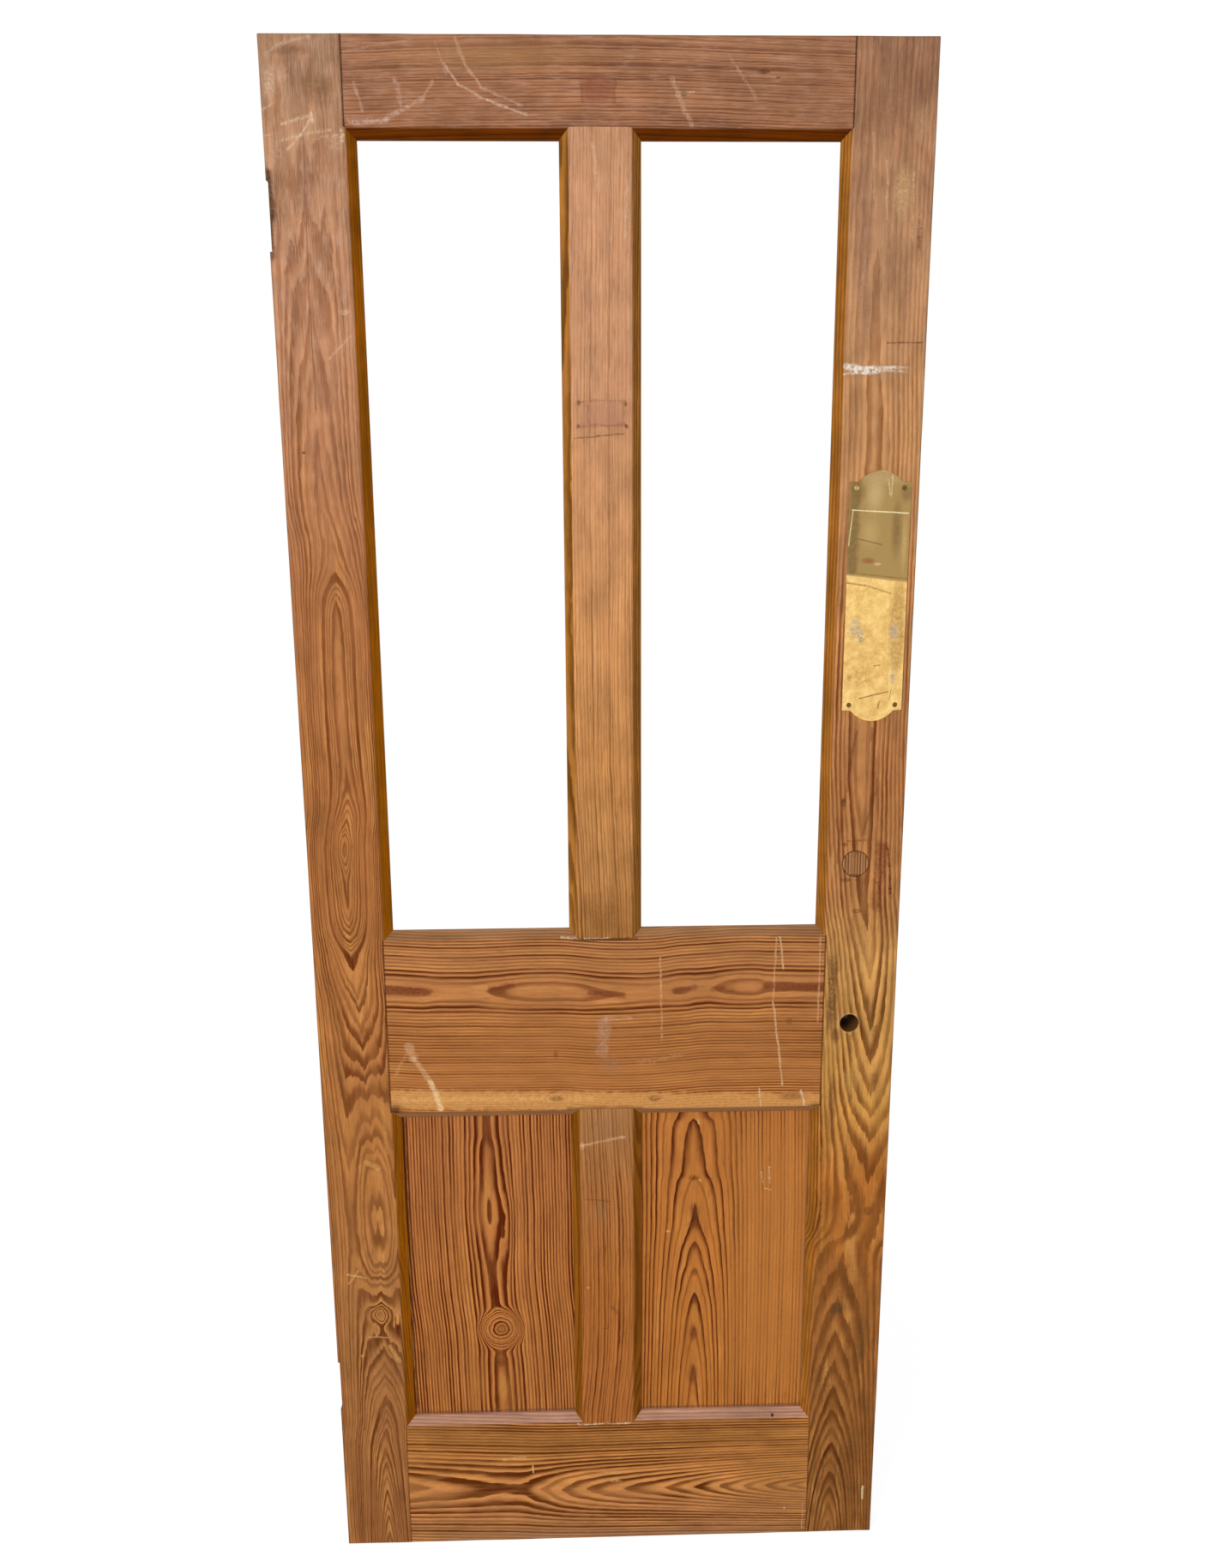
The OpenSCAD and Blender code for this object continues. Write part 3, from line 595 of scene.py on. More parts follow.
# hinge stile: dusty and faint above, a swirl at hand height, strong nested tips below
hingeStile = {
    "grain": "down",
    "pithAcross": [(0, 44), (300, 43), (450, 42), (560, 52), (640, 54), (760, 53), (860, 55), (950, 48),
                   (1060, 49), (1150, 56), (1250, 59), (1400, 65), (1500, 66), (1600, 65), (1760, 65),
                   (1830, 60), (1981, 60)],
    "pithDepth": [(0, 62), (120, 58), (200, 55), (300, 51), (400, 47), (500, 44.5), (570, 42.5),
                  (640, 32), (700, 30.5), (840, 29.5), (930, 21), (970, 21), (1080, 38), (1200, 50),
                  (1320, 62), (1420, 71), (1460, 72.4), (1500, 71), (1575, 58), (1650, 52), (1790, 33),
                  (1981, 14)],
    "meanDepth": 34, "spread": 34,
    "contrast": [(0, 0.55), (120, 0.6), (300, 0.75), (560, 0.85), (640, 0.85), (900, 0.95), (1100, 1.0),
                 (1500, 1.0), (1981, 1.0)],
    "ringWidth": 2.6, "crease": 0.3, "drift": 0.7, "jag": 1.7, "seed": 3.7, "glow": 0.6, "grime": 0.16,
    "grimeTop": 0.3,
    "knots": [{"at": (48, 935, 10, 24), "lift": -7.0},
              {"at": (63, 1605, 11, 12), "lift": -9.0, "heart": 0.5}],
    "early": [(0, "#A77E60"), (300, "#C48D69"), (600, "#B6784A"), (900, "#B37340"), (1150, "#B87842"),
              (1400, "#B97A42"), (1620, "#B47945"), (1981, "#A56A3C")],
    "late": [(0, "#6A3A1D"), (300, "#814522"), (600, "#6F3311"), (900, "#662C0C"), (1150, "#602609"),
             (1400, "#5D2608"), (1620, "#5C2709"), (1981, "#552308")],
    "chamfer": ("#A35E08", "#6A3901"),
    "dust": {"hex": "#D2AE94", "amount": 0.7, "until": 620},
    "marks": [
        blot(64, 54, 24, 26, "#7A5232", 0.65, 0.5, 0.8),
        blot(34, 17, 34, 7, "#7A5238", 0.7, 0.5, 0.8),
        scratch(10, 19, 32, 8, 2.4, "#D2B096", 0.6, 0.85, 0.7),
        scratch(32, 8, 58, 4, 2.2, "#D2B096", 0.55, 0.85, 0.7),
        ghost(10, 50, 9, 24, "#E0C2AA", 0.6, 0.9, 0.9),
        ghost(26, 40, 10, 12, "#D2AE92", 0.45, 1.0, 0.9),
        scratch(1, 77, 16, 69, 2.0, "#D8B89C", 0.55, 0.9, 0.7),
        ghost(80, 112, 14, 14, "#D8B090", 0.5, 0.9, 0.9),
        ghost(14, 118, 12, 30, "#C8A488", 0.5, 0.9, 0.9),
        scratch(43, 150, 47, 196, 5, "#A06A58", 0.45, 0.5, 0.6),
        scratch(43, 270, 50, 320, 4, "#9A6450", 0.45, 0.5, 0.6),
        scratch(43, 345, 56, 400, 4, "#96604A", 0.4, 0.5, 0.6),
        scratch(43, 425, 36, 470, 4, "#925A44", 0.5, 0.4, 0.6),
        blot(20, 900, 16, 40, "#6E4A2A", 0.4, 0.5, 0.9),
        scratch(46, 100, 42, 250, 0.7, "#5E3A22", 0.55),
        scratch(42, 250, 43, 400, 0.7, "#5E3A22", 0.65, 0.3),
        blot(25, 448, 3.2, 2.2, "#4A2A18", 0.8, 0.2),
        scratch(22, 92, 56, 83, 2.0, "#E2C4A2", 0.75, 0.85, 0.6, sway=0.3),
        scratch(55, 81, 57, 90, 2.0, "#EACDB0", 0.75, 0.6, 0.6),
        scratch(54, 88, 42, 104, 1.7, "#E2C4A2", 0.75, 0.75, 0.6, sway=0.3),
        scratch(42, 104, 26, 119, 2.0, "#E2C4A2", 0.7, 0.85, 0.6, sway=0.3),
        scratch(20, 109, 50, 102, 2.2, "#DDBB98", 0.65, 0.9, 0.7, sway=0.3),
        scratch(50, 102, 76, 98, 1.8, "#DDBB98", 0.65, 0.9, 0.7, sway=0.3),
        scratch(56, 107, 90, 103, 1.8, "#DDB994", 0.6, 0.95, 0.7),
        scratch(88, 98, 89, 109, 2.6, "#E6C8A8", 0.7, 0.8, 0.6),
        scratch(1, 105, 10, 103, 1.6, "#D8B496", 0.55, 0.9),
        blot(82, 292, 7, 4, "#DDB48E", 0.65, 0.7),
        scratch(62, 342, 88, 318, 2.2, "#DDB48E", 0.6, 0.8),
        blot(62, 1188, 13, 14, "#743A18", 0.6, 0.5, 0.7),
        blot(64, 1490, 8, 14, "#6E3816", 0.6, 0.4, 0.7),
        scratch(70, 1382, 56, 1374, 5, "#DDA460", 0.65, 0.6),
        scratch(80, 1280, 82, 1360, 3, "#CE9450", 0.5, 0.6),
        scratch(20, 1541, 45, 1548, 1.7, "#DDAA70", 0.75, 0.6),
        scratch(22, 1556, 36, 1536, 1.4, "#DDAA70", 0.65, 0.6),
        scratch(45, 1640, 72, 1641, 1.2, "#DDAA70", 0.75, 0.5),
        blot(35, 1670, 3, 3, "#D9A468"),
        scratch(74, 1655, 86, 1680, 3.5, "#DDA662", 0.65, 0.5),
        # painted shade in the upper hinge recess and on its torn front arris, partly dirt on the bare wood
        scratch(2.5, 143, 3.5, 190, 6.0, "#2E1C12", 0.9, 0.3, 0.6, sway=0.2),
        scratch(2.5, 190, 2, 232, 4.4, "#3E281A", 0.85, 0.4, 0.6, sway=0.2),
        ghost(1.5, 188, 4, 39, "#6A4A30", 0.6, 0.5, 0.3, through=True),
        scratch(5, 155, 7, 186, 2.4, "#5A4230", 0.6, 0.9, 0.8),
        joints["topHinge"],
        joints["lockHinge"],
        joints["bottomHinge"],
    ],
}

# lock stile: dusty and plain at the top, open wavy lines in yellow wood at the spindle,
# dirty arches at the foot
lockStile = {
    "grain": "down",
    "pithAcross": [(0, 705), (300, 700), (460, 705), (780, 704), (900, 708), (1000, 714), (1100, 726),
                   (1300, 735), (1440, 737), (1500, 722), (1560, 702), (1981, 699)],
    "pithDepth": [(0, 41), (460, 36), (780, 31), (1000, 37), (1100, 42), (1250, 53), (1420, 70),
                  (1470, 71.6), (1520, 70), (1981, 14)],
    "contrast": [(0, 0.5), (150, 0.55), (440, 0.75), (780, 1.05), (1000, 1.1), (1300, 1.05), (1500, 1.0),
                 (1600, 0.95), (1981, 0.95)],
    "ringWidth": 4.4, "crease": 0.25, "spread": 60, "drift": 0.8, "jag": 2.2, "uneven": 0.0, "seed": 11.3,
    "glow": 0.65, "grime": 0.24, "grimeTop": 0.28,
    "early": [(0, "#9D7054"), (140, "#AE7F5D"), (240, "#C08F68"), (420, "#CB9564"), (860, "#BD7F4D"),
              (1000, "#C58852"), (1110, "#D79F5B"), (1290, "#D4994F"), (1410, "#BD7533"),
              (1610, "#AB6D36"), (1981, "#976130")],
    "late": [(0, "#633618"), (240, "#7C4420"), (420, "#83471E"), (860, "#662C0E"), (1000, "#60270A"),
             (1185, "#65320D"), (1410, "#5E2404"), (1610, "#4C1F06"), (1981, "#4A1F05")],
    "chamfer": ("#A86A28", "#70410E"),
    "dust": {"hex": "#C6A084", "amount": 0.5, "until": 520},
    "marks": [
        blot(712, 70, 46, 62, "#7E5640", 0.5, 0.5, 0.9),
        blot(684, 230, 11, 95, "#8E6654", 0.55, 0.6, 0.7),
        blot(726, 160, 15, 42, "#D6AE7C", 0.75, 0.6, 0.8),
        blot(744, 90, 13, 26, "#C29A74", 0.55, 0.7, 0.8),
        scratch(690, 100, 694, 170, 1.8, "#CBA078", 0.55, 0.7),
        scratch(707, 130, 709, 190, 1.6, "#DDB484", 0.6, 0.8),
        scratch(738, 130, 740, 215, 1.5, "#DDB484", 0.6, 0.8),
        blot(690, 300, 9, 60, "#8A5E4C", 0.4, 0.5, 0.8),
        blot(672, 300, 5, 90, "#D2A070", 0.5, 0.5, 0.8),
        blot(728, 250, 26, 60, "#966C50", 0.4, 0.6, 0.9),
        blot(748, 210, 3, 40, "#5A3A28", 0.65, 0.9),
        scratch(716, 326, 757, 326, 1.4, "#4E3020", 0.75, 0.6, sway=0.3),
        ghost(714, 357, 46, 9, "#96745A", 0.5, 0.6, 0.7),
        ghost(690, 356, 24, 6, "#F6EFE4", 1.0, 1.0, 0.6),
        ghost(722, 356, 26, 5, "#E4D4C0", 0.7, 1.0, 0.8),
        scratch(668, 353, 700, 356, 3.4, "#F6EFE4", 1.0, 0.9),
        scratch(690, 358, 724, 354, 3.0, "#F0E6D8", 0.9, 1.0),
        scratch(666, 361, 690, 360, 1.6, "#F0E6D8", 0.8, 0.9),
        scratch(722, 352, 740, 354, 1.4, "#D8C4B0", 0.6, 1.0),
        blot(702, 962.5, 18.2, 18.2, "#3E2210", 0.85, 0.2, 0.04, sway=0.0),
        scratch(736, 940, 731, 1020, 8, "#6E3420", 0.75, 0.5),
        scratch(746, 962, 749, 1002, 2.0, "#38190C", 0.95, 0.7),
        scratch(741, 935, 746, 962, 1.3, "#4A2412", 0.8, 0.5),
        scratch(697, 790, 684, 880, 2.2, "#70391C", 0.6, 0.5),
        scratch(684, 880, 678, 960, 2.2, "#70391C", 0.6, 0.5),
        scratch(716, 785, 725, 870, 2.6, "#74401F", 0.55, 0.5),
        scratch(725, 870, 709, 925, 2.2, "#74401F", 0.5, 0.5),
        blot(683, 882, 5, 9, "#4E341C", 0.7, 0.4, 0.6),
        blot(690, 984, 9, 4, "#4A2A16", 0.75, 0.8),
        blot(687, 937, 6, 3, "#4A2A16", 0.75, 0.7),
        scratch(690, 932, 716, 932, 1.4, "#5A3218", 0.55, 0.7),
        blot(706, 1027, 8, 4, "#5A3418", 0.65, 0.7),
        blot(672, 962, 4, 26, "#D49C58", 0.65, 0.4, 0.7),
        ghost(678, 1140, 9, 72, "#5A3A22", 0.85, 0.45, 0.6),
        blot(684, 1200, 7, 16, "#5E3A20", 0.75, 0.3, 0.6),
        blot(683, 1290, 7, 45, "#6B4024", 0.7, 0.4, 0.6),
        scratch(738, 1190, 735, 1225, 4.0, "#7A4822"),
        scratch(704, 1200, 708, 1290, 1.6, "#7A4A1E", 0.7, 0.3),
        blot(738, 1262, 8, 14, "#7C4426", 0.6, 0.4, 0.7),
        blot(706, 1262, 14, 34, "#CE9E58", 0.5, 0.4, 0.8),
        blot(700, 1610, 16, 14, "#4E3E28", 0.65, 0.4, 0.7),
        blot(735, 1660, 14, 70, "#543A20", 0.6, 0.4, 0.8),
        blot(738, 1460, 8, 10, "#5A3214", 0.6, 0.4, 0.6),
        blot(712, 1560, 30, 60, "#6A4624", 0.4, 0.7, 0.9),
        blot(690, 1720, 26, 70, "#5A3A1C", 0.35, 0.8, 0.9),
        blot(722, 1850, 34, 90, "#52361C", 0.4, 0.8, 0.9),
        scratch(673, 1330, 676, 1520, 3.0, "#C68A40", 0.5, 0.6),
        scratch(749, 1905, 748, 1925, 1.6, "#E8D2A8", 0.9, 0.5),
        joints["topLock"],
        joints["lockLock"],
        joints["bottomLock"],
        blot(702, 1182.5, 16, 16, "#D8B888", 0.5, 0.5, 0.3, sway=0.1),
        # painted shade inside the spindle bore
        blot(702, 1182.5, 13, 13, "#3A2A1E", 0.92, 0.15, 0.06, sway=0.0, through=True),
    ],
}

# top rail: fine level lines in its lower half, chalky scratches, a ghost of a lost fitting
topRail = {
    "grain": "over",
    "pithAcross": [(91, -30), (300, -34), (667, -28)],
    "pithDepth": [(91, 26), (250, 27), (380, 30), (520, 27), (667, 25)],
    "contrast": [(91, 0.75), (250, 0.9), (380, 1.0), (560, 0.95), (667, 0.8)],
    "ringWidth": 3.3, "crease": 0.0, "drift": 0.6, "jag": 1.8, "seed": 21.9, "glow": 0.3, "grime": 0.2,
    "grimeTop": 0.24,
    "early": [(0, "#A67454"), (94, "#A47050")],
    "late": [(0, "#6D3F28"), (94, "#63341F")],
    # painted shade: the downward-facing chamfer under the rail is coloured as dark as it looks in shadow,
    # over old varnish
    "chamfer": ("#6F3401", "#461C00"),
    "dust": {"hex": "#C9A08A", "amount": 0.5, "until": 500},
    "marks": [
        blot(270, 22, 170, 24, "#A27448", 0.6, 0.4, 0.9),
        scratch(206, 30, 220, 52, 1.5, "#DDBBA2", 0.6, 0.6),
        scratch(220, 52, 252, 67, 1.5, "#DDBBA2", 0.55, 0.75),
        scratch(252, 67, 296, 82, 1.8, "#E2C4AC", 0.65, 0.75),
        scratch(218, 4, 228, 30, 2.4, "#CBA286", 0.5, 0.5),
        scratch(228, 30, 246, 54, 2.0, "#D6B096", 0.55, 0.65),
        scratch(246, 54, 290, 72, 1.8, "#D6B096", 0.5, 0.85),
        scratch(196, 8, 208, 40, 1.4, "#CBA286", 0.4, 0.8),
        scratch(192, 48, 180, 66, 1.8, "#CFA98F", 0.5, 0.7),
        scratch(180, 66, 138, 86, 3.0, "#D2B09C", 0.6, 0.8),
        scratch(150, 46, 156, 74, 3.4, "#CFAA98", 0.5, 0.85),
        scratch(104, 50, 112, 78, 1.8, "#CFA98F", 0.5, 0.7),
        scratch(98, 90, 140, 88, 3.4, "#D6B6A4", 0.6, 0.8),
        scratch(95, 18, 170, 6, 1.2, "#CBA286", 0.4, 0.7),
        ghost(377, 55, 21, 17, "#8A4C3A", 0.6, 0.45, 0.45),
        scratch(358, 46, 360, 70, 2.0, "#6E3A2C", 0.5, 0.7),
        scratch(396, 46, 395, 68, 2.4, "#6E3A2C", 0.5, 0.7),
        scratch(460, 45, 482, 92, 3.0, "#D6B090", 0.55, 0.85),
        scratch(470, 60, 484, 58, 1.6, "#DDBBA0", 0.5, 0.7),
        blot(474, 60, 5, 3.5, "#5A3422", 0.65, 0.5),
        blot(563, 37, 9, 2.6, "#4A2A1C", 0.8, 0.6),
        blot(580, 43, 3, 2, "#4A2A1C", 0.7),
        scratch(524, 20, 556, 66, 2.0, "#CBA183", 0.45, 0.85),
        joints["topHinge"],
        joints["topLock"],
    ],
}

# lock rail: level lines round a row of long dark flames, a strip of yellow sapwood at its foot
flameRing = 3.9
lockRail = {
    "grain": "over",
    "pithAcross": [(91, 1127), (200, 1131), (300, 1131), (400, 1136), (480, 1132), (560, 1129),
                   (667, 1131)],
    "pithDepth": [(at, flameRing * (7 + share)) for at, share in (
        (91, 0.74), (138, 0.82), (150, 1.0), (168, 1.14), (200, 1.14), (216, 1.02), (228, 0.88),
        (242, 0.72), (258, 0.4), (300, 0.16), (335, 0.24), (362, 0.56), (380, 0.8), (400, 0.93),
        (412, 1.04), (440, 1.16), (456, 1.06), (468, 0.9), (480, 0.8), (492, 0.92), (502, 1.06),
        (512, 1.06), (520, 0.96), (530, 0.76), (545, 0.48), (568, 0.32), (584, 0.5), (600, 0.72),
        (667, 0.75))],
    "contrast": [(91, 1.25), (300, 1.3), (667, 1.2)],
    "ringWidth": flameRing, "crease": 0.0, "drift": 0.16, "jag": 0.9, "uneven": 0.0, "seed": 5.2,
    "glow": 0.5, "grime": 0.14,
    "early": [(1048, "#C08350"), (1135, "#BF7E49"), (1185, "#BB7A45"), (1240, "#BD7B43"),
              (1300, "#C48048")],
    "late": [(1048, "#6B3513"), (1135, "#5F280C"), (1185, "#6B3210"), (1240, "#743A13"), (1300, "#7B3E17")],
    "chamfer": ("#A87850", "#7E5434"),
    "marks": [
        ghost(380, 1215, 330, 62, "#B07440", 0.4, 0.4, 0.6),
        scratch(91, 1126, 148, 1129, 6.0, "#733420", 0.8, 0.55, 0.4),
        scratch(228, 1127, 256, 1123, 4.5, "#733420", 0.75, 0.45),
        scratch(358, 1134, 402, 1139, 4.0, "#733420", 0.7, 0.55),
        scratch(470, 1133, 496, 1129, 4.5, "#733420", 0.7, 0.45),
        scratch(592, 1128, 667, 1131, 6.5, "#733420", 0.75, 0.5, 0.4),
        scratch(520, 1131, 532, 1130, 4.5, "#733420", 0.65),
        scratch(60, 1281, 700, 1298, 15, "#D89C5A", 0.9, 0.35, 0.25, sway=0.8),
        scratch(110, 1282, 360, 1284, 5, "#EAB472", 0.55, 0.8),
        blot(312, 1284, 13, 5, "#6A4020", 0.8, 0.85),
        blot(444, 1286, 12, 5, "#6A4020", 0.8, 0.85),
        scratch(118, 1206, 124, 1222, 6.5, "#D6A67C", 0.65, 0.5),
        scratch(124, 1222, 146, 1258, 4.0, "#DDAE82", 0.7, 0.6),
        scratch(146, 1258, 158, 1296, 4.6, "#F2D09C", 0.8, 0.5),
        scratch(116, 1214, 98, 1248, 2.4, "#CF9C6C", 0.45, 0.8),
        scratch(376, 1176, 374, 1216, 9, "#BC9880", 0.55, 0.75),
        blot(385, 1236, 28, 18, "#A87A5C", 0.45, 0.6, 0.9),
        scratch(376, 1172, 412, 1170, 2.8, "#C9A48C", 0.6, 0.8),
        scratch(420, 1234, 480, 1224, 4.0, "#C89468", 0.45, 0.9),
        scratch(450, 1085, 452, 1140, 1.7, "#DCB084", 0.6, 0.85),
        scratch(452, 1140, 453, 1205, 1.5, "#DCB084", 0.5, 0.9),
        scratch(602, 1062, 600, 1150, 1.3, "#E0B488", 0.6, 0.7),
        scratch(600, 1150, 615, 1270, 1.5, "#E6BE92", 0.75, 0.6),
        scratch(607, 1062, 612, 1105, 1.6, "#E6BE92", 0.7, 0.5),
        scratch(660, 1062, 660, 1180, 1.4, "#E0B488", 0.55, 0.7),
        scratch(640, 1278, 646, 1300, 1.5, "#F0D4A8", 0.8),
        scratch(584, 1274, 587, 1300, 1.1, "#F0D4A8", 0.65, 0.6),
        blot(628, 1287, 24, 8, "#7C4624", 0.7, 0.5, 0.7),
        blot(622, 1178, 6, 6, "#6E3E20", 0.7, 0.85),
        blot(312, 1220, 5, 9, "#7A4424", 0.65, 0.5, 0.8),
        # painted shadow at the rail's lower corners, where the stiles' chamfers run in under it
        blot(97, 1298, 15, 14, "#2E1C10", 0.85, 0.3, 0.8),
        blot(662, 1302, 14, 9, "#2E1C10", 0.85, 0.3, 0.8),
        scratch(330, 1300, 425, 1301, 5, "#5A3C22", 0.75, 0.5),
        joints["lockHinge"],
        joints["lockLock"],
        scratch(322, 1058, 346, 1060, 1.3, "#F0D8B4", 0.7, 0.9, through=True),
        scratch(338, 1061, 420, 1061, 1.8, "#4E3420", 0.85),
    ],
}

# bottom rail: arrow tips that meet in a dark bridge and run off to the right
tipRing = 4.2
bottomRail = {
    "grain": "over",
    "pithAcross": [(91, 1888), (225, 1894), (345, 1898), (450, 1898), (667, 1900)],
    "pithDepth": [(at, tipRing * count) for at, count in (
        (91, 12.55), (120, 12.9), (150, 13.15), (190, 13.45), (212, 13.68), (235, 13.74), (256, 13.66),
        (272, 13.2), (290, 12.7), (310, 12.0), (345, 11.0), (395, 10.0), (455, 9.0), (500, 8.0),
        (535, 7.0), (570, 6.0), (602, 5.0), (635, 4.0), (667, 3.2))],
    "contrast": [(91, 1.34), (400, 1.46), (560, 1.23), (667, 1.01)],
    "ringWidth": tipRing, "meanDepth": 40, "spread": 60, "crease": 0.12, "drift": 0.25, "jag": 1.4,
    "uneven": 0.0, "seed": 8.6, "grime": 0.2, "glow": 0.5,
    "early": [(1776, "#B87C45"), (1815, "#B67A3E"), (1875, "#DC9351"), (1935, "#C48551"),
              (1981, "#BA8353")],
    "late": [(1776, "#6B3510"), (1815, "#67330D"), (1875, "#612D0B"), (1935, "#6B3610"), (1981, "#733E1A")],
    "chamfer": ("#BC8F77", "#996B55"),
    "marks": [
        ghost(380, 1822, 310, 12, "#7C5028", 0.35, 0.5, 0.8),
        ghost(620, 1890, 70, 60, "#74501F", 0.4, 0.4, 0.9),
        scratch(228, 1845, 260, 1842, 2.2, "#E0B684", 0.7, 0.85),
        scratch(269, 1856, 270, 1868, 1.0, "#EBC796", 0.85, 0.3),
        blot(385, 1870, 22, 4, "#E0AC70", 0.6, 0.7),
        blot(388, 1884, 12, 4, "#E6B47A", 0.6, 0.7),
        scratch(335, 1789, 410, 1789, 1.6, "#F0DCC0", 0.8, 1.0, through=True),
        blot(614, 1784, 2.6, 2.2, "#2A1A12", 0.9, 0.0, 0.4, sway=0.0, through=True),
        ghost(379, 1974, 290, 9, "#A57B60", 0.5, 0.5, 0.8),
        joints["bottomHinge"],
        joints["bottomLock"],
        scratch(661, 1930, 661, 1975, 0.9, "#D8B48C", 0.6, 0.7),
        blot(634, 1938, 2, 2, "#E8D2B0", 0.8, 0.3),
    ],
}

# upper muntin: pale straight grain, two faint nailed ghosts, a dirty foot
upperMuntin = {
    "grain": "down",
    "pithAcross": [(94, 300), (600, 296), (1060, 304)],
    "pithDepth": [(94, 20), (600, 26), (1060, 18)],
    "contrast": [(94, 0.55), (400, 0.61), (700, 0.76), (1060, 0.92)],
    "ringWidth": 3.8, "crease": 0.0, "drift": 1.3, "jag": 1.6, "seed": 14.1, "grime": 0.2, "glow": 0.35,
    "glowHex": "#D8A468",
    "early": [(94, "#CD956F"), (380, "#CF966E"), (570, "#D49764"), (825, "#CC8E54"), (985, "#C2874E"),
              (1060, "#AE743C")],
    "late": [(94, "#855638"), (380, "#875636"), (570, "#8B5630"), (825, "#7E4B24"), (985, "#6C3E1A"),
             (1060, "#603612")],
    "chamfer": ("#AE7231", "#643A0A"),
    "dust": {"hex": "#DDB898", "amount": 0.45, "until": 700},
    "marks": [
        scratch(370, 110, 376, 160, 2.4, "#DDB899", 0.5, 0.8),
        scratch(410, 150, 407, 210, 2.4, "#DDB899", 0.5, 0.8),
        ghost(378, 405, 29, 17, "#B4806A", 0.5, 0.35, 0.35),
        scratch(352, 391, 408, 390, 1.5, "#96624E", 0.55, 0.75),
        scratch(354, 419, 406, 418, 2.2, "#8E5648", 0.6, 0.7),
        scratch(363, 396, 363, 416, 1.5, "#8A5646", 0.55, 0.7),
        scratch(404, 392, 405, 416, 1.4, "#8A5646", 0.55, 0.7),
        blot(351, 392, 2.6, 4.5, "#5A3428", 0.8),
        blot(351, 419, 2.6, 3.4, "#5A3428", 0.8),
        blot(407, 394, 2.4, 4.5, "#5A3428", 0.8),
        blot(408, 419, 2.8, 3.4, "#5A3428", 0.85),
        scratch(346, 433, 404, 428, 1.0, "#6E4630", 0.75, 0.6, sway=0.5),
        ghost(377, 1030, 38, 42, "#8A5C30", 0.6, 0.6, 0.9),
        scratch(345, 1060, 410, 1060, 1.8, "#4E3420", 0.8, 0.5, through=True),
        scratch(352, 1059, 384, 1059, 1.3, "#F2DDBC", 0.7, 1.0),
    ],
}

# lower muntin: straight, orange, dusty towards the lock rail
lowerMuntin = {
    "grain": "down",
    "pithAcross": [(1300, 455), (1560, 462), (1788, 452)],
    "pithDepth": [(1300, 18), (1560, 24), (1788, 18)],
    "contrast": [(1300, 0.78), (1500, 1.04), (1788, 1.04)],
    "ringWidth": 4.0, "crease": 0.0, "drift": 1.3, "jag": 1.6, "seed": 17.4, "glow": 0.4,
    "glowHex": "#BC7C42",
    "early": [(1300, "#B47E4D"), (1410, "#B67844"), (1560, "#BB7438"), (1788, "#B97138")],
    "late": [(1300, "#6B3D1A"), (1410, "#693512"), (1560, "#6B320E"), (1788, "#64310E")],
    "chamfer": ("#925610", "#542E04"),
    "marks": [
        scratch(345, 1353, 402, 1342, 2.0, "#E2B890", 0.7, 0.7),
        blot(346, 1354, 4, 7, "#DDB088"),
        blot(372, 1450, 14, 30, "#7A6248", 0.4, 0.5, 0.9),
        blot(376, 1330, 34, 30, "#8E6A4C", 0.45, 0.6, 0.9),
        scratch(350, 1434, 385, 1438, 0.9, "#5E3A20", 0.6, 0.5),
        scratch(372, 1634, 380, 1634, 0.9, "#5E3A20"),
        scratch(384, 1600, 395, 1612, 2.8, "#6E3C18", 0.55, 0.6),
        blot(352, 1570, 2.4, 2.4, "#E0B080", 0.7),
        scratch(350, 1789, 410, 1789, 1.5, "#F0DCC0", 0.8, 1.0),
    ],
}

# left panel: close straight lines, one long flame and a ringed knot
panelRing = 4.0
leftPanel = {
    "grain": "down",
    "pithAcross": [(1300, 216), (1450, 217), (1540, 218), (1660, 226), (1790, 230)],
    "pithDepth": [(at, panelRing * count - 13) for at, count in (
        (1300, 8.74), (1338, 8.7), (1352, 8.55), (1370, 8.34), (1420, 8.16), (1436, 7.98), (1458, 7.86),
        (1480, 8.02), (1505, 8.3), (1528, 8.5), (1545, 8.7), (1600, 8.76), (1672, 8.7), (1690, 8.45),
        (1720, 8.3), (1765, 8.2), (1790, 8.2))],
    "contrast": [(1300, 1.38), (1790, 1.38)],
    "sunkFace": True, "ringWidth": panelRing, "crease": 0.1, "drift": 0.2, "jag": 0.9, "uneven": 0.0,
    "seed": 2.3, "glow": 0.55, "glowHex": "#C98C48", "grime": 0.14,
    "knots": [{"at": (242, 1490, 8, 80), "lift": -4.4},
              {"at": (229, 1641, 22, 23), "lift": -7.0, "own": 0.9, "start": 5.0, "rings": 17.0,
               "heart": 0.4}],
    "early": [(1300, "#C07A44"), (1550, "#C57D41"), (1790, "#C27C3F")],
    "late": [(1300, "#5C2208"), (1550, "#5C2105"), (1790, "#5B2105")],
    "marks": [
        blot(150, 1420, 50, 110, "#8E5430", 0.3, 0.4, 0.9),
        blot(229, 1735, 9, 34, "#CE9048", 0.55, 0.3, 0.7),
        blot(228, 1695, 7, 9, "#703C16", 0.75, 0.3),
        scratch(338, 1300, 338, 1770, 1.8, "#96897C", 0.6, 0.8),
        scratch(104, 1774, 340, 1774, 2.4, "#6A4C3A", 0.7, 0.5),
        # painted shadow along the panel's left and top edges, where the sunk fillet shades it
        scratch(106, 1310, 106, 1765, 1.6, "#3E240E", 0.75, 0.3),
        scratch(100, 1306, 345, 1306, 3.0, "#4A2A10", 0.7, 0.3),
    ],
}

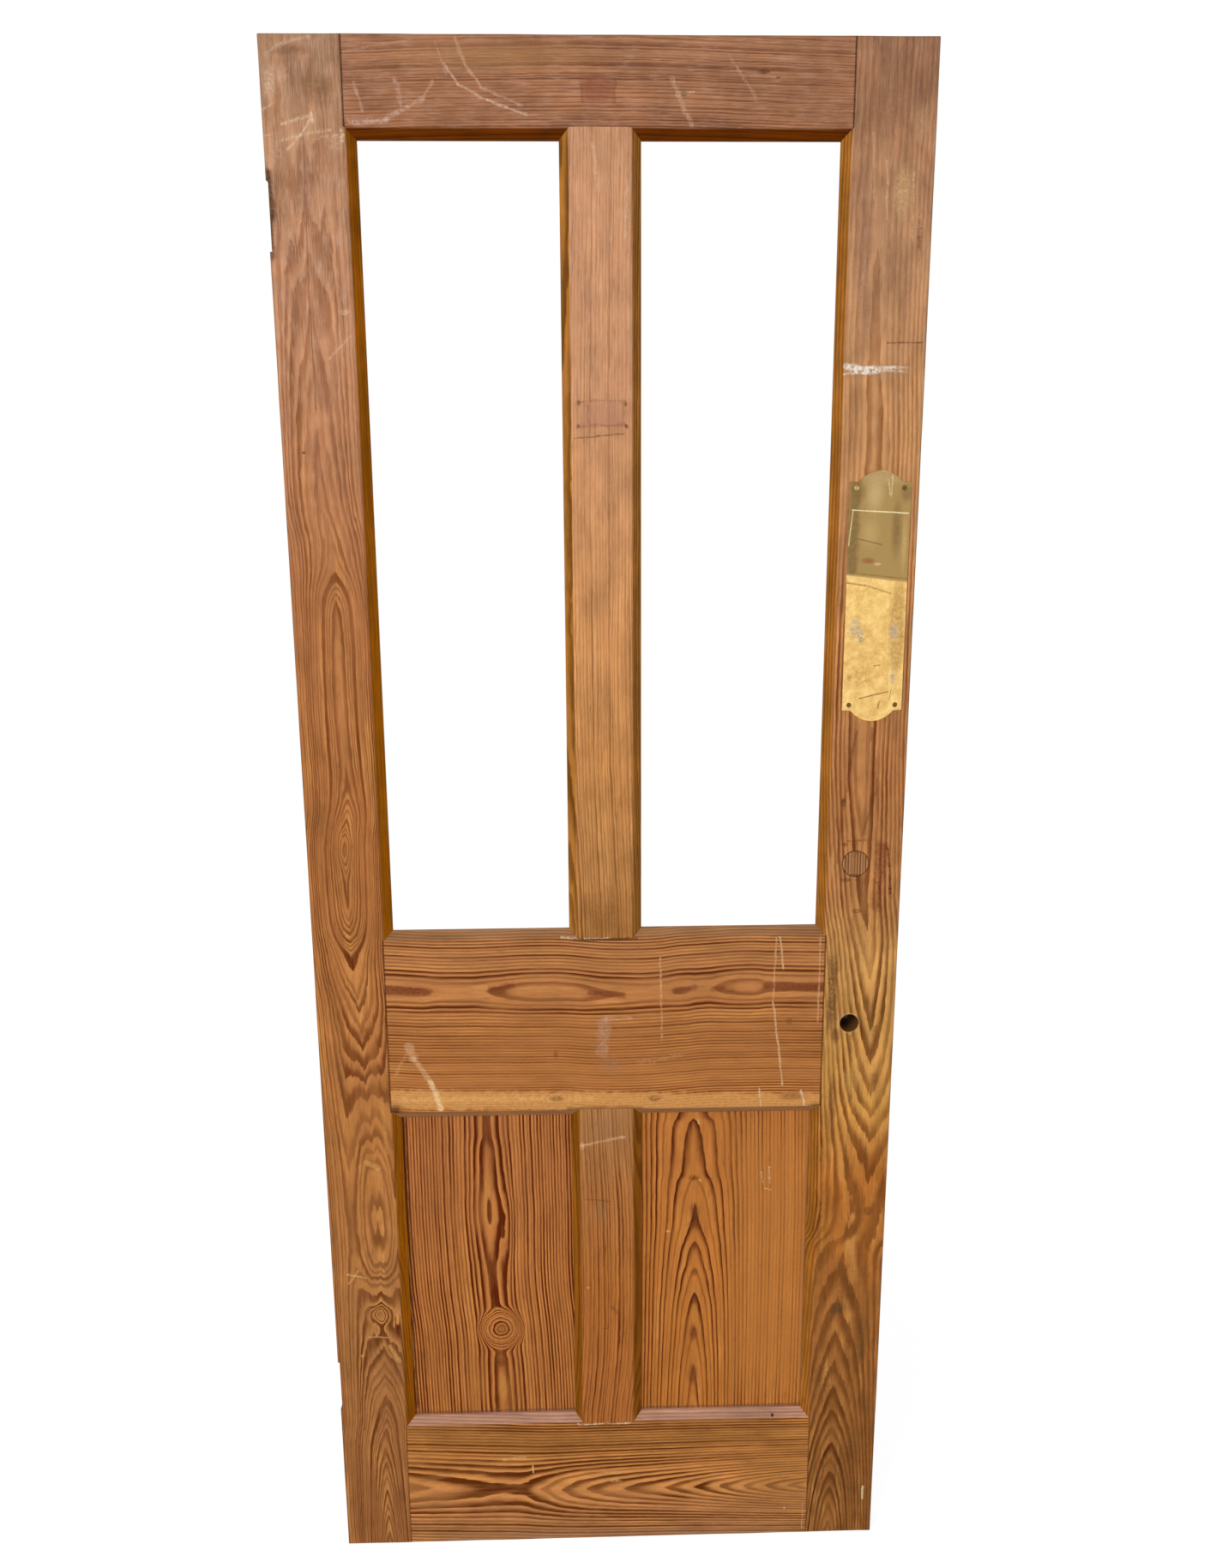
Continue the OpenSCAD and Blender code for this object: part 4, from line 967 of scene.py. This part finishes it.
# right panel: a stack of dark-capped arches
archRing = 4.6
rightPanel = {
    "grain": "down",
    "pithAcross": [(1300, 497), (1400, 499), (1500, 501), (1640, 501), (1790, 500)],
    "pithDepth": [(at, archRing * count - 13) for at, count in (
        (1300, 14.3), (1322, 13.95), (1330, 13.62), (1408, 12.95), (1416, 12.62), (1450, 11.95),
        (1480, 11.62), (1508, 10.95), (1518, 10.62), (1550, 9.95), (1560, 9.62), (1590, 8.95),
        (1600, 8.62), (1638, 7.95), (1664, 7.62), (1703, 6.95), (1730, 6.62), (1790, 6.1))],
    "contrast": [(1300, 1.38), (1790, 1.38)],
    "sunkFace": True, "ringWidth": archRing, "meanDepth": 33, "spread": 55, "crease": 0.25, "drift": 0.25,
    "jag": 1.2, "lateFrom": 0.28, "uneven": 0.0, "seed": 9.9, "grime": 0.12, "glow": 0.5,
    "glowHex": "#C98C48",
    "early": [(1300, "#BF773A"), (1550, "#C37938"), (1790, "#C17836")],
    "late": [(1300, "#582208"), (1550, "#561F04"), (1790, "#541E04")],
    "marks": [
        ghost(610, 1540, 72, 262, "#C07C3E", 0.6, 0.3),
        blot(500, 1464, 8, 18, "#6E3C24", 0.75, 0.3, 0.7),
        blot(500, 1484, 12, 8, "#6E3C24", 0.6, 0.3, 0.8),
        blot(500, 1516, 7, 10, "#744020", 0.65, 0.3, 0.7),
        blot(501, 1557, 7, 9, "#744020", 0.65, 0.3, 0.7),
        blot(502, 1600, 7, 11, "#6E3A22", 0.7, 0.3, 0.7),
        blot(500, 1654, 9, 18, "#6E3A22", 0.75, 0.3, 0.7),
        blot(500, 1722, 10, 22, "#6E3A22", 0.75, 0.3, 0.7),
        scratch(503, 1326, 504, 1331, 1.6, "#E6B888", 0.7),
        scratch(512, 1375, 513, 1395, 1.6, "#4A2814", 0.8),
        blot(499, 1412, 9, 5, "#5A2E14", 0.7, 0.5),
        blot(507, 1416, 3, 3, "#E0A868", 0.7),
        scratch(592, 1405, 594, 1424, 1.4, "#E8C08C", 0.75, 0.9),
        scratch(602, 1398, 604, 1422, 1.4, "#E8C08C", 0.75, 0.9),
        scratch(596, 1430, 606, 1432, 1.4, "#E8C08C", 0.7, 0.9),
        blot(463, 1493, 4, 2, "#E8C08C", 0.7),
        scratch(424, 1774, 656, 1774, 2.4, "#6A4C3A", 0.7, 0.5),
        scratch(654, 1310, 654, 1765, 1.6, "#94826E", 0.5, 0.8),
        # painted shadow along the panel's left and top edges, where the sunk fillet shades it
        scratch(424, 1310, 424, 1765, 1.6, "#3E240E", 0.75, 0.3),
        scratch(418, 1306, 660, 1306, 3.0, "#4A2A10", 0.7, 0.3),
    ],
}

# the plug in the old lock hole: a turned disc with its grain upright
plugLines = [689.5 + 3.7 * i for i in range(8)]  # mm over
plug = {
    "grain": "down",
    "pithAcross": [(940, 600), (985, 600)],
    "pithDepth": [(940, 20), (985, 20)],
    "contrast": [(940, 1.3), (985, 1.3)],
    "ringWidth": 3.2, "crease": 0.0, "drift": 0.2, "jag": 0.4, "uneven": 0.2, "seed": 6.4, "glow": 0.2,
    "early": [(0, "#BA8658"), (1981, "#BA8658")],
    "late": [(0, "#744522"), (1981, "#744522")],
    "marks": [
        blot(702, 945, 20, 6, "#6A4020", 0.5, 0.4, 0.8),
        *[scratch(x, 947, x, 979, 0.75, "#5A3216", 0.7, 0.25, sway=0.1) for x in plugLines],
        blot(702, 979, 20, 4, "#4A2A12", 0.6, 0.3, 0.6),
    ],
}

# wedges show their ends on the stiles' edges
wedges = {
    "grain": "over",
    "pithAcross": [(0, 900), (762, 900)],
    "pithDepth": [(0, 15), (762, 15)],
    "contrast": [(0, 0.9), (762, 0.9)],
    "ringWidth": 2.2, "crease": 0.0, "seed": 30.5,
    "early": [(0, "#B98A5C"), (1981, "#B98A5C")],
    "late": [(0, "#84552E"), (1981, "#84552E")],
}

screwSpots = [(x, z) for x in (0.3045, 0.3625) for z in (1.225, 1.489)]  # m, the plate's screws
wear = {
    "round": 1.5, "step": 22, "tornStep": 5,  # mm: the full round, and how long a stretch wears alike
    "outer": 0.75, "joint": 0.3, "chamfer": 0.6, "tornRound": 0.45,  # shares of the full round
    "sharp": 25,  # degrees: flatter edges don't wear
    "waves": (14, 90), "least": 0.35, "most": 1.7, "seed": 4.0,
    "torn": ((-0.382, 1.748), (-0.376, 1.838)),  # m, the upper hinge recess
    "spare": 0.012,  # m round the screw holes
}
boards = {"hinge_stile": hingeStile, "lock_stile": lockStile, "top_rail": topRail, "lock_rail": lockRail,
          "bottom_rail": bottomRail, "upper_muntin": upperMuntin, "lower_muntin": lowerMuntin}
for index, (node, board) in enumerate(boards.items()):
    piece = wornBoard(node, dict(wear, seed=wear["seed"] + index))
    slotName = "pitch_pine_rails" if node.endswith("rail") else "pitch_pine_stiles"
    finishPiece(piece, pine("pitchPine" + node.title().replace("_", ""), board), slotName, node)

kept = {"left_panel": pine("pitchPineLeftPanel", leftPanel),
        "right_panel": pine("pitchPineRightPanel", rightPanel),
        "cylinder_plug": pine("pitchPinePlug", plug)}
kept.update(dict.fromkeys(("top_rail_wedges", "lock_rail_wedges", "bottom_rail_wedges"),
                          pine("pitchPineWedges", wedges)))
for node, material in kept.items():
    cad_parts[node].data.materials.clear()
    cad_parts[node].data.materials.append(material)
print("boards dressed")

# finger plate: thin sheet brass, its edges softened by polishing
plate = {
    "round": 0.45,  # mm
    "nearFace": 0.0011,  # m: only edges further out than this are polished round
    "bright": "#D2A75F", "pale": "#EDCA81", "pit": "#8A6A34",
    "marks": [
        # the olive band over the upper plate: a painted dark reflection, partly tarnished lacquer
        scratch(640, 527, 790, 545, 64, "#9C7F4C", 0.96, 0.0, 0.025, sway=0.25),
        scratch(684, 478, 683, 588, 8, "#6A5230", 0.75, 0.3),
        blot(746, 498, 10, 16, "#6A5230", 0.6, 0.3, 0.8),
        blot(690, 498, 12, 12, "#6E5632", 0.5, 0.3, 0.8),
        blot(708, 500, 16, 30, "#C4AB7C", 0.6, 0.2, 0.9),
        blot(716, 480, 34, 12, "#B89A70", 0.5, 0.3, 0.8),
        blot(736, 540, 9, 50, "#6E5630", 0.75, 0.3, 0.9),
        blot(704, 545, 16, 26, "#BCA06A", 0.5, 0.2, 0.9),
        blot(746, 560, 5, 46, "#C2A468", 0.5, 0.4, 0.8),
        scratch(681, 518, 750, 522, 0.8, "#EFE2B6", 0.9, 0.35, sway=0.1),
        scratch(682, 518, 678, 560, 0.8, "#E6D29C", 0.7, 0.3, sway=0.1),
        scratch(723, 482, 726, 500, 1.0, "#E6D2A4", 0.6, 0.6),
        scratch(728, 478, 728, 502, 1.0, "#E6D2A4", 0.5, 0.6),
        scratch(689, 552, 719, 559, 0.8, "#54401E", 0.8, sway=0.2),
        blot(702, 578, 11, 5, "#8A4226", 0.75, 0.4, 0.7),
        blot(714, 582, 6, 2.4, "#E0B6A0"),
        scratch(678, 592, 754, 601, 0.9, "#6E5326", 0.65, 0.5, sway=0.25),
        scratch(678, 605, 700, 608, 1.3, "#8C6A30", 0.8, 0.3, sway=0.3),
        scratch(700, 608, 732, 618, 1.3, "#8C6A30", 0.75, 0.5, sway=0.3),
        scratch(732, 612, 733, 760, 1.0, "#9A7438", 0.4, 0.8),
        blot(742, 660, 12, 80, "#A47A40", 0.8, 0.5),
        blot(706, 690, 34, 50, "#C09048", 0.45, 0.8, 0.9),
        blot(700, 720, 26, 30, "#B48442", 0.5, 0.9, 0.9),
        blot(712, 762, 26, 18, "#C8964C", 0.4, 0.7, 0.9),
        blot(690, 660, 10, 15, "#9C958C", 0.9, 0.95, 0.6),
        blot(697, 672, 7, 9, "#8C857C", 0.9, 0.95, 0.6),
        blot(738, 664, 8, 13, "#A29A90", 0.9, 0.95, 0.6),
        blot(739, 722, 4, 16, "#9C948A", 0.7, 0.9, 0.7),
        scratch(698, 748, 734, 739, 0.9, "#5E4318", 0.9, 0.3, sway=0.15),
        scratch(738, 736, 735, 750, 0.8, "#7A5A28", 0.7),
        scratch(715, 707, 723, 706, 1.0, "#6E5020", 0.8, 0.3),
        scratch(724, 752, 722, 760, 1.4, "#7A5A28", 0.8),
        blot(685, 722, 4, 5, "#A07A3C", 0.6, 0.6),
    ],
}
work, layer = mergedCopy("finger_plate")
for edge in work.edges:
    atFace = all(v.co.y < -leaf["thickness"] / 2000 - plate["nearFace"] for v in edge.verts)
    if atFace and edge.calc_face_angle(0) > math.radians(60):
        edge[layer] = 1.0
plateWorn = rounded("finger_plate_worn", work, plate["round"], 3, True)

# Rolled brass sheet, once lacquered: a dull olive band above, partly the old film and partly a painted dark
# reflection, bare golden metal below, pitted and scratched
brass, tree, shader = newMaterial("agedSheetBrass")
place = put(tree, "Group", node_tree=leafPlace).outputs
_, flatSway = swayOn(tree, place["Place"])
blooms = put(tree, "TexNoise", {"Vector": place["Place"], "Scale": 0.09, "Detail": 4.0, "Roughness": 0.65})
bloom = put(tree, "MapRange", [blooms, 0.35, 0.65, 0.0, 1.0])
golden = put(tree, "Mix RGBA", {0: bloom, 6: linear(plate["bright"]), 7: linear(plate["pale"])})
stainsAndReflection = layMarks(tree, golden, plate["marks"], place["Place"], place["Front"], flatSway)
# pits about 2 mm across
pitNoise = put(tree, "TexNoise", {"Vector": place["Place"], "Scale": 0.45, "Detail": 3.0, "Roughness": 0.6})
pits = put(tree, "MapRange", [pitNoise, 0.6, 0.72, 0.0, 0.55])
pitted = put(tree, "Mix RGBA", {0: pits, 6: stainsAndReflection, 7: linear(plate["pit"])})
fineNoise = put(tree, "TexNoise", {"Vector": place["Place"], "Scale": 0.9, "Detail": 2.0})
fineTone = put(tree, "MapRange", [fineNoise, 0.3, 0.7, 0.92, 1.08])
toned = put(tree, "HueSaturation", {"Value": fineTone, "Color": pitted})
rough = put(tree, "MapRange", [blooms, 0.3, 0.7, 0.36, 0.52])
dents = put(tree, "Math MULTIPLY_ADD", [blooms, 2.0, fineNoise])
bump = put(tree, "Bump", {"Strength": 0.3, "Distance": 0.0003, "Height": dents})
wire(tree, shader, {"Base Color": toned, "Roughness": rough, "Normal": bump, "Metallic": 0.85})
finishPiece(plateWorn, brass, "plate_brass", "finger_plate")
print("plate dressed")

# plate screws: slotted, countersunk, each slot at its own angle
screw = {"Head": 0.0064, "Shank": 0.0035, "Length": 0.019, "Slot Width": 0.0009, "Slot Depth": 0.0007,
         "Dome": 0.0003}  # m
turnSeed = 7
darkBrass, tree, shader = newMaterial("oxidisedBrass")  # old turned brass, brown where it was never polished
place = put(tree, "Group", node_tree=leafPlace).outputs
tarnish = put(tree, "TexNoise", {"Vector": place["Place"], "Scale": 0.8, "Detail": 3.0})
brown = put(tree, "MapRange", [tarnish, 0.35, 0.65, 0.0, 1.0])
skin = put(tree, "Mix RGBA", {0: brown, 6: linear("#5A3E1C"), 7: linear("#7E5E2E")})
still = put(tree, "CombineXYZ")
rubbedBright = [blot(685.5, 492, 4.5, 4.5, "#D2B070", 0.85, 0.3, 0.4, through=True)]
skinned = layMarks(tree, skin, rubbedBright, place["Place"], place["Front"], still)
rough = put(tree, "MapRange", [tarnish, 0.3, 0.7, 0.4, 0.6])
wire(tree, shader, {"Base Color": skinned, "Roughness": rough, "Metallic": 0.8})

screwTree = bpy.data.node_groups.new("slottedScrews", "GeometryNodeTree")
for label, kind in (("Points", "Geometry"), *((size, "Float") for size in screw), ("Turn Seed", "Int"),
                    ("Material", "Material")):
    screwTree.interface.new_socket(label, in_out="INPUT", socket_type="NodeSocket" + kind)
screwTree.interface.new_socket("Screws", in_out="OUTPUT", socket_type="NodeSocketGeometry")
given = screwTree.nodes.new("NodeGroupInput").outputs
# a turned profile: depth and radius at each point down the axis, as shares of the sizes
cut = {}
for label, size, share in (
        ("crown", "Head", 0.3), ("shoulder", "Head", 0.43), ("rim", "Head", 0.5), ("slotLong", "Head", 1.4),
        ("body", "Shank", 0.5), ("tip", "Shank", 0.08), ("domeMid", "Dome", 0.4),
        ("tipStart", "Length", 0.78), ("slotTall", "Slot Depth", 2.0)):
    cut[label] = put(screwTree, "Math MULTIPLY", [given[size], share])
cone = put(screwTree, "Math SUBTRACT", [given["Head"], given["Shank"]])
coneDepth = put(screwTree, "Math MULTIPLY_ADD", [cone, 0.5, given["Dome"]])
at = put(screwTree, "GeometryNodeInputIndex")
depthAt = put(screwTree, "GeometryNodeIndexSwitch", data_type="FLOAT")
widthAt = put(screwTree, "GeometryNodeIndexSwitch", data_type="FLOAT")
profile = [(0.0, cut["crown"]), (cut["domeMid"], cut["shoulder"]), (given["Dome"], cut["rim"]),
           (coneDepth, cut["body"]), (cut["tipStart"], cut["body"]), (given["Length"], cut["tip"])]
for picker in (depthAt, widthAt):
    while len(picker.index_switch_items) < len(profile):
        picker.index_switch_items.new()
for step, (deep, wide) in enumerate(profile):
    wire(screwTree, depthAt, {"Index": at, 1 + step: deep})
    wire(screwTree, widthAt, {"Index": at, 1 + step: wide})
down = put(screwTree, "Math MULTIPLY", [depthAt, -1.0])
spot = put(screwTree, "CombineXYZ", {2: down})
axis = put(screwTree, "GeometryNodeCurvePrimitiveLine", {"Start": (0, 0, 0), "End": (0, 0, -0.01)})
beads = put(screwTree, "GeometryNodeResampleCurve", {"Curve": axis, "Count": len(profile)})
placed = put(screwTree, "GeometryNodeSetPosition", {"Geometry": beads, "Position": spot})
turned = put(screwTree, "GeometryNodeSetCurveRadius", {"Curve": placed, "Radius": widthAt})
ring = put(screwTree, "GeometryNodeCurvePrimitiveCircle", {"Resolution": 28, "Radius": 1.0})
lathe = put(screwTree, "GeometryNodeCurveToMesh",
            {"Curve": turned, "Profile Curve": ring, "Scale": widthAt, "Fill Caps": True})
slotSize = put(screwTree, "CombineXYZ", [cut["slotLong"], given["Slot Width"], cut["slotTall"]])
cutter = put(screwTree, "GeometryNodeMeshCube", {"Size": slotSize})
slotted = put(screwTree, "GeometryNodeMeshBoolean", {"Mesh 1": lathe, "Mesh 2": cutter},
              operation="DIFFERENCE")
turn = put(screwTree, "FunctionNodeRandomValue", {"Seed": given["Turn Seed"]}, data_type="FLOAT")
angle = put(screwTree, "Math MULTIPLY", [turn.outputs[1], math.pi])
spin = put(screwTree, "FunctionNodeAxisAngleToRotation", {"Axis": (0, 0, 1), "Angle": angle})
faceOut = put(screwTree, "FunctionNodeEulerToRotation", [(math.pi / 2, 0, 0)])
turning = put(screwTree, "FunctionNodeRotateRotation", [faceOut, spin], rotation_space="LOCAL")
copies = put(screwTree, "GeometryNodeInstanceOnPoints",
             {"Points": given["Points"], "Instance": slotted, "Rotation": turning})
real = put(screwTree, "GeometryNodeRealizeInstances", {"Geometry": copies})
dressed = put(screwTree, "GeometryNodeSetMaterial", {"Geometry": real, "Material": given["Material"]})
wire(screwTree, screwTree.nodes.new("NodeGroupOutput"), {"Screws": dressed})

points = bpy.data.meshes.new("screw_points")
# heads level with the plate's face
points.from_pydata([(x, cadBox[0][1], z) for x, z in screwSpots], [], [])
screws = addToScene("plate_screws_slotted", points)
maker = screws.modifiers.new("screws", "NODES")
maker.node_group = screwTree
values = dict(screw, **{"Turn Seed": turnSeed, "Material": darkBrass})
for item in screwTree.interface.items_tree:
    if item.in_out == "INPUT" and item.name in values:
        maker[item.identifier] = values[item.name]
settle(screws, maker)
finishPiece(screws, darkBrass, "screw_brass", "plate_screws")

camera = {"place": (-0.03062, -1.50188, 1.44842), "turn": (77.768, 0.303, -1.496), "lens": 27.556}
eye = bpy.data.cameras.new("eye")
eye.lens = camera["lens"]
eye.sensor_width = 36
scene.camera = addToScene("eye", eye)
scene.camera.location = camera["place"]
scene.camera.rotation_euler = [math.radians(a) for a in camera["turn"]]


def seenShare(tree):
    # 1 for what is looked at, straight or in a mirror, 0 where light only bounces on
    path = put(tree, "LightPath").outputs
    seen = put(tree, "Math MAXIMUM", [path["Is Camera Ray"], path["Is Glossy Ray"]])
    return put(tree, "Math MAXIMUM", [seen, path["Is Transmission Ray"]])


# floor: white to the eye, with the leaf's shadow kept
floorMesh = bpy.data.meshes.new("floor")
floorMesh.from_pydata([(-9, -9, 0), (9, -9, 0), (9, 9, 0), (-9, 9, 0)], [], [(0, 1, 2, 3)])
floor = addToScene("floor", floorMesh)
paper, tree, shader = newMaterial("paperFloor")
wire(tree, shader, {"Base Color": linear("#C4C2BE"), "Roughness": 0.9, "Specular IOR Level": 0.1})
glow = put(tree, "Emission", {"Color": linear("#FFFFFF"), "Strength": 0.84})
shade = put(tree, "BsdfDiffuse", {"Color": linear("#959595")})
white = put(tree, "AddShader", [glow, shade])
both = put(tree, "MixShader", [seenShare(tree), shader, white])
wire(tree, tree.nodes["Material Output"], {"Surface": both})
floorMesh.materials.append(paper)

# soft room light, white where the eye or a reflection sees it
roomLight = 0.55
lamps = {"key": {"power": 190.0, "place": (-3.2, -4.6, 3.2), "size": 2.6},
         "fill": {"power": 26.0, "place": (3.4, -4.4, 1.4), "size": 3.4}}  # W, m and m
aimAt = Vector((0, 0, 0.95))  # m, about the middle of the leaf
world = bpy.data.worlds.new("room")
world.use_nodes = True
scene.world = world
tree = world.node_tree
strength = put(tree, "MapRange", [seenShare(tree), 0.0, 1.0, roomLight, 1.0])
wire(tree, tree.nodes["Background"], {"Color": linear("#FFFFFF"), "Strength": strength})
for name, lamp in lamps.items():
    light = bpy.data.lights.new(name, "AREA")
    light.energy = lamp["power"]
    light.size = lamp["size"]
    placed = addToScene(name, light)
    placed.location = lamp["place"]
    aim = aimAt - Vector(lamp["place"])
    placed.rotation_euler = aim.to_track_quat("-Z", "Y").to_euler()
print("stage set")

bpy.context.view_layer.update()
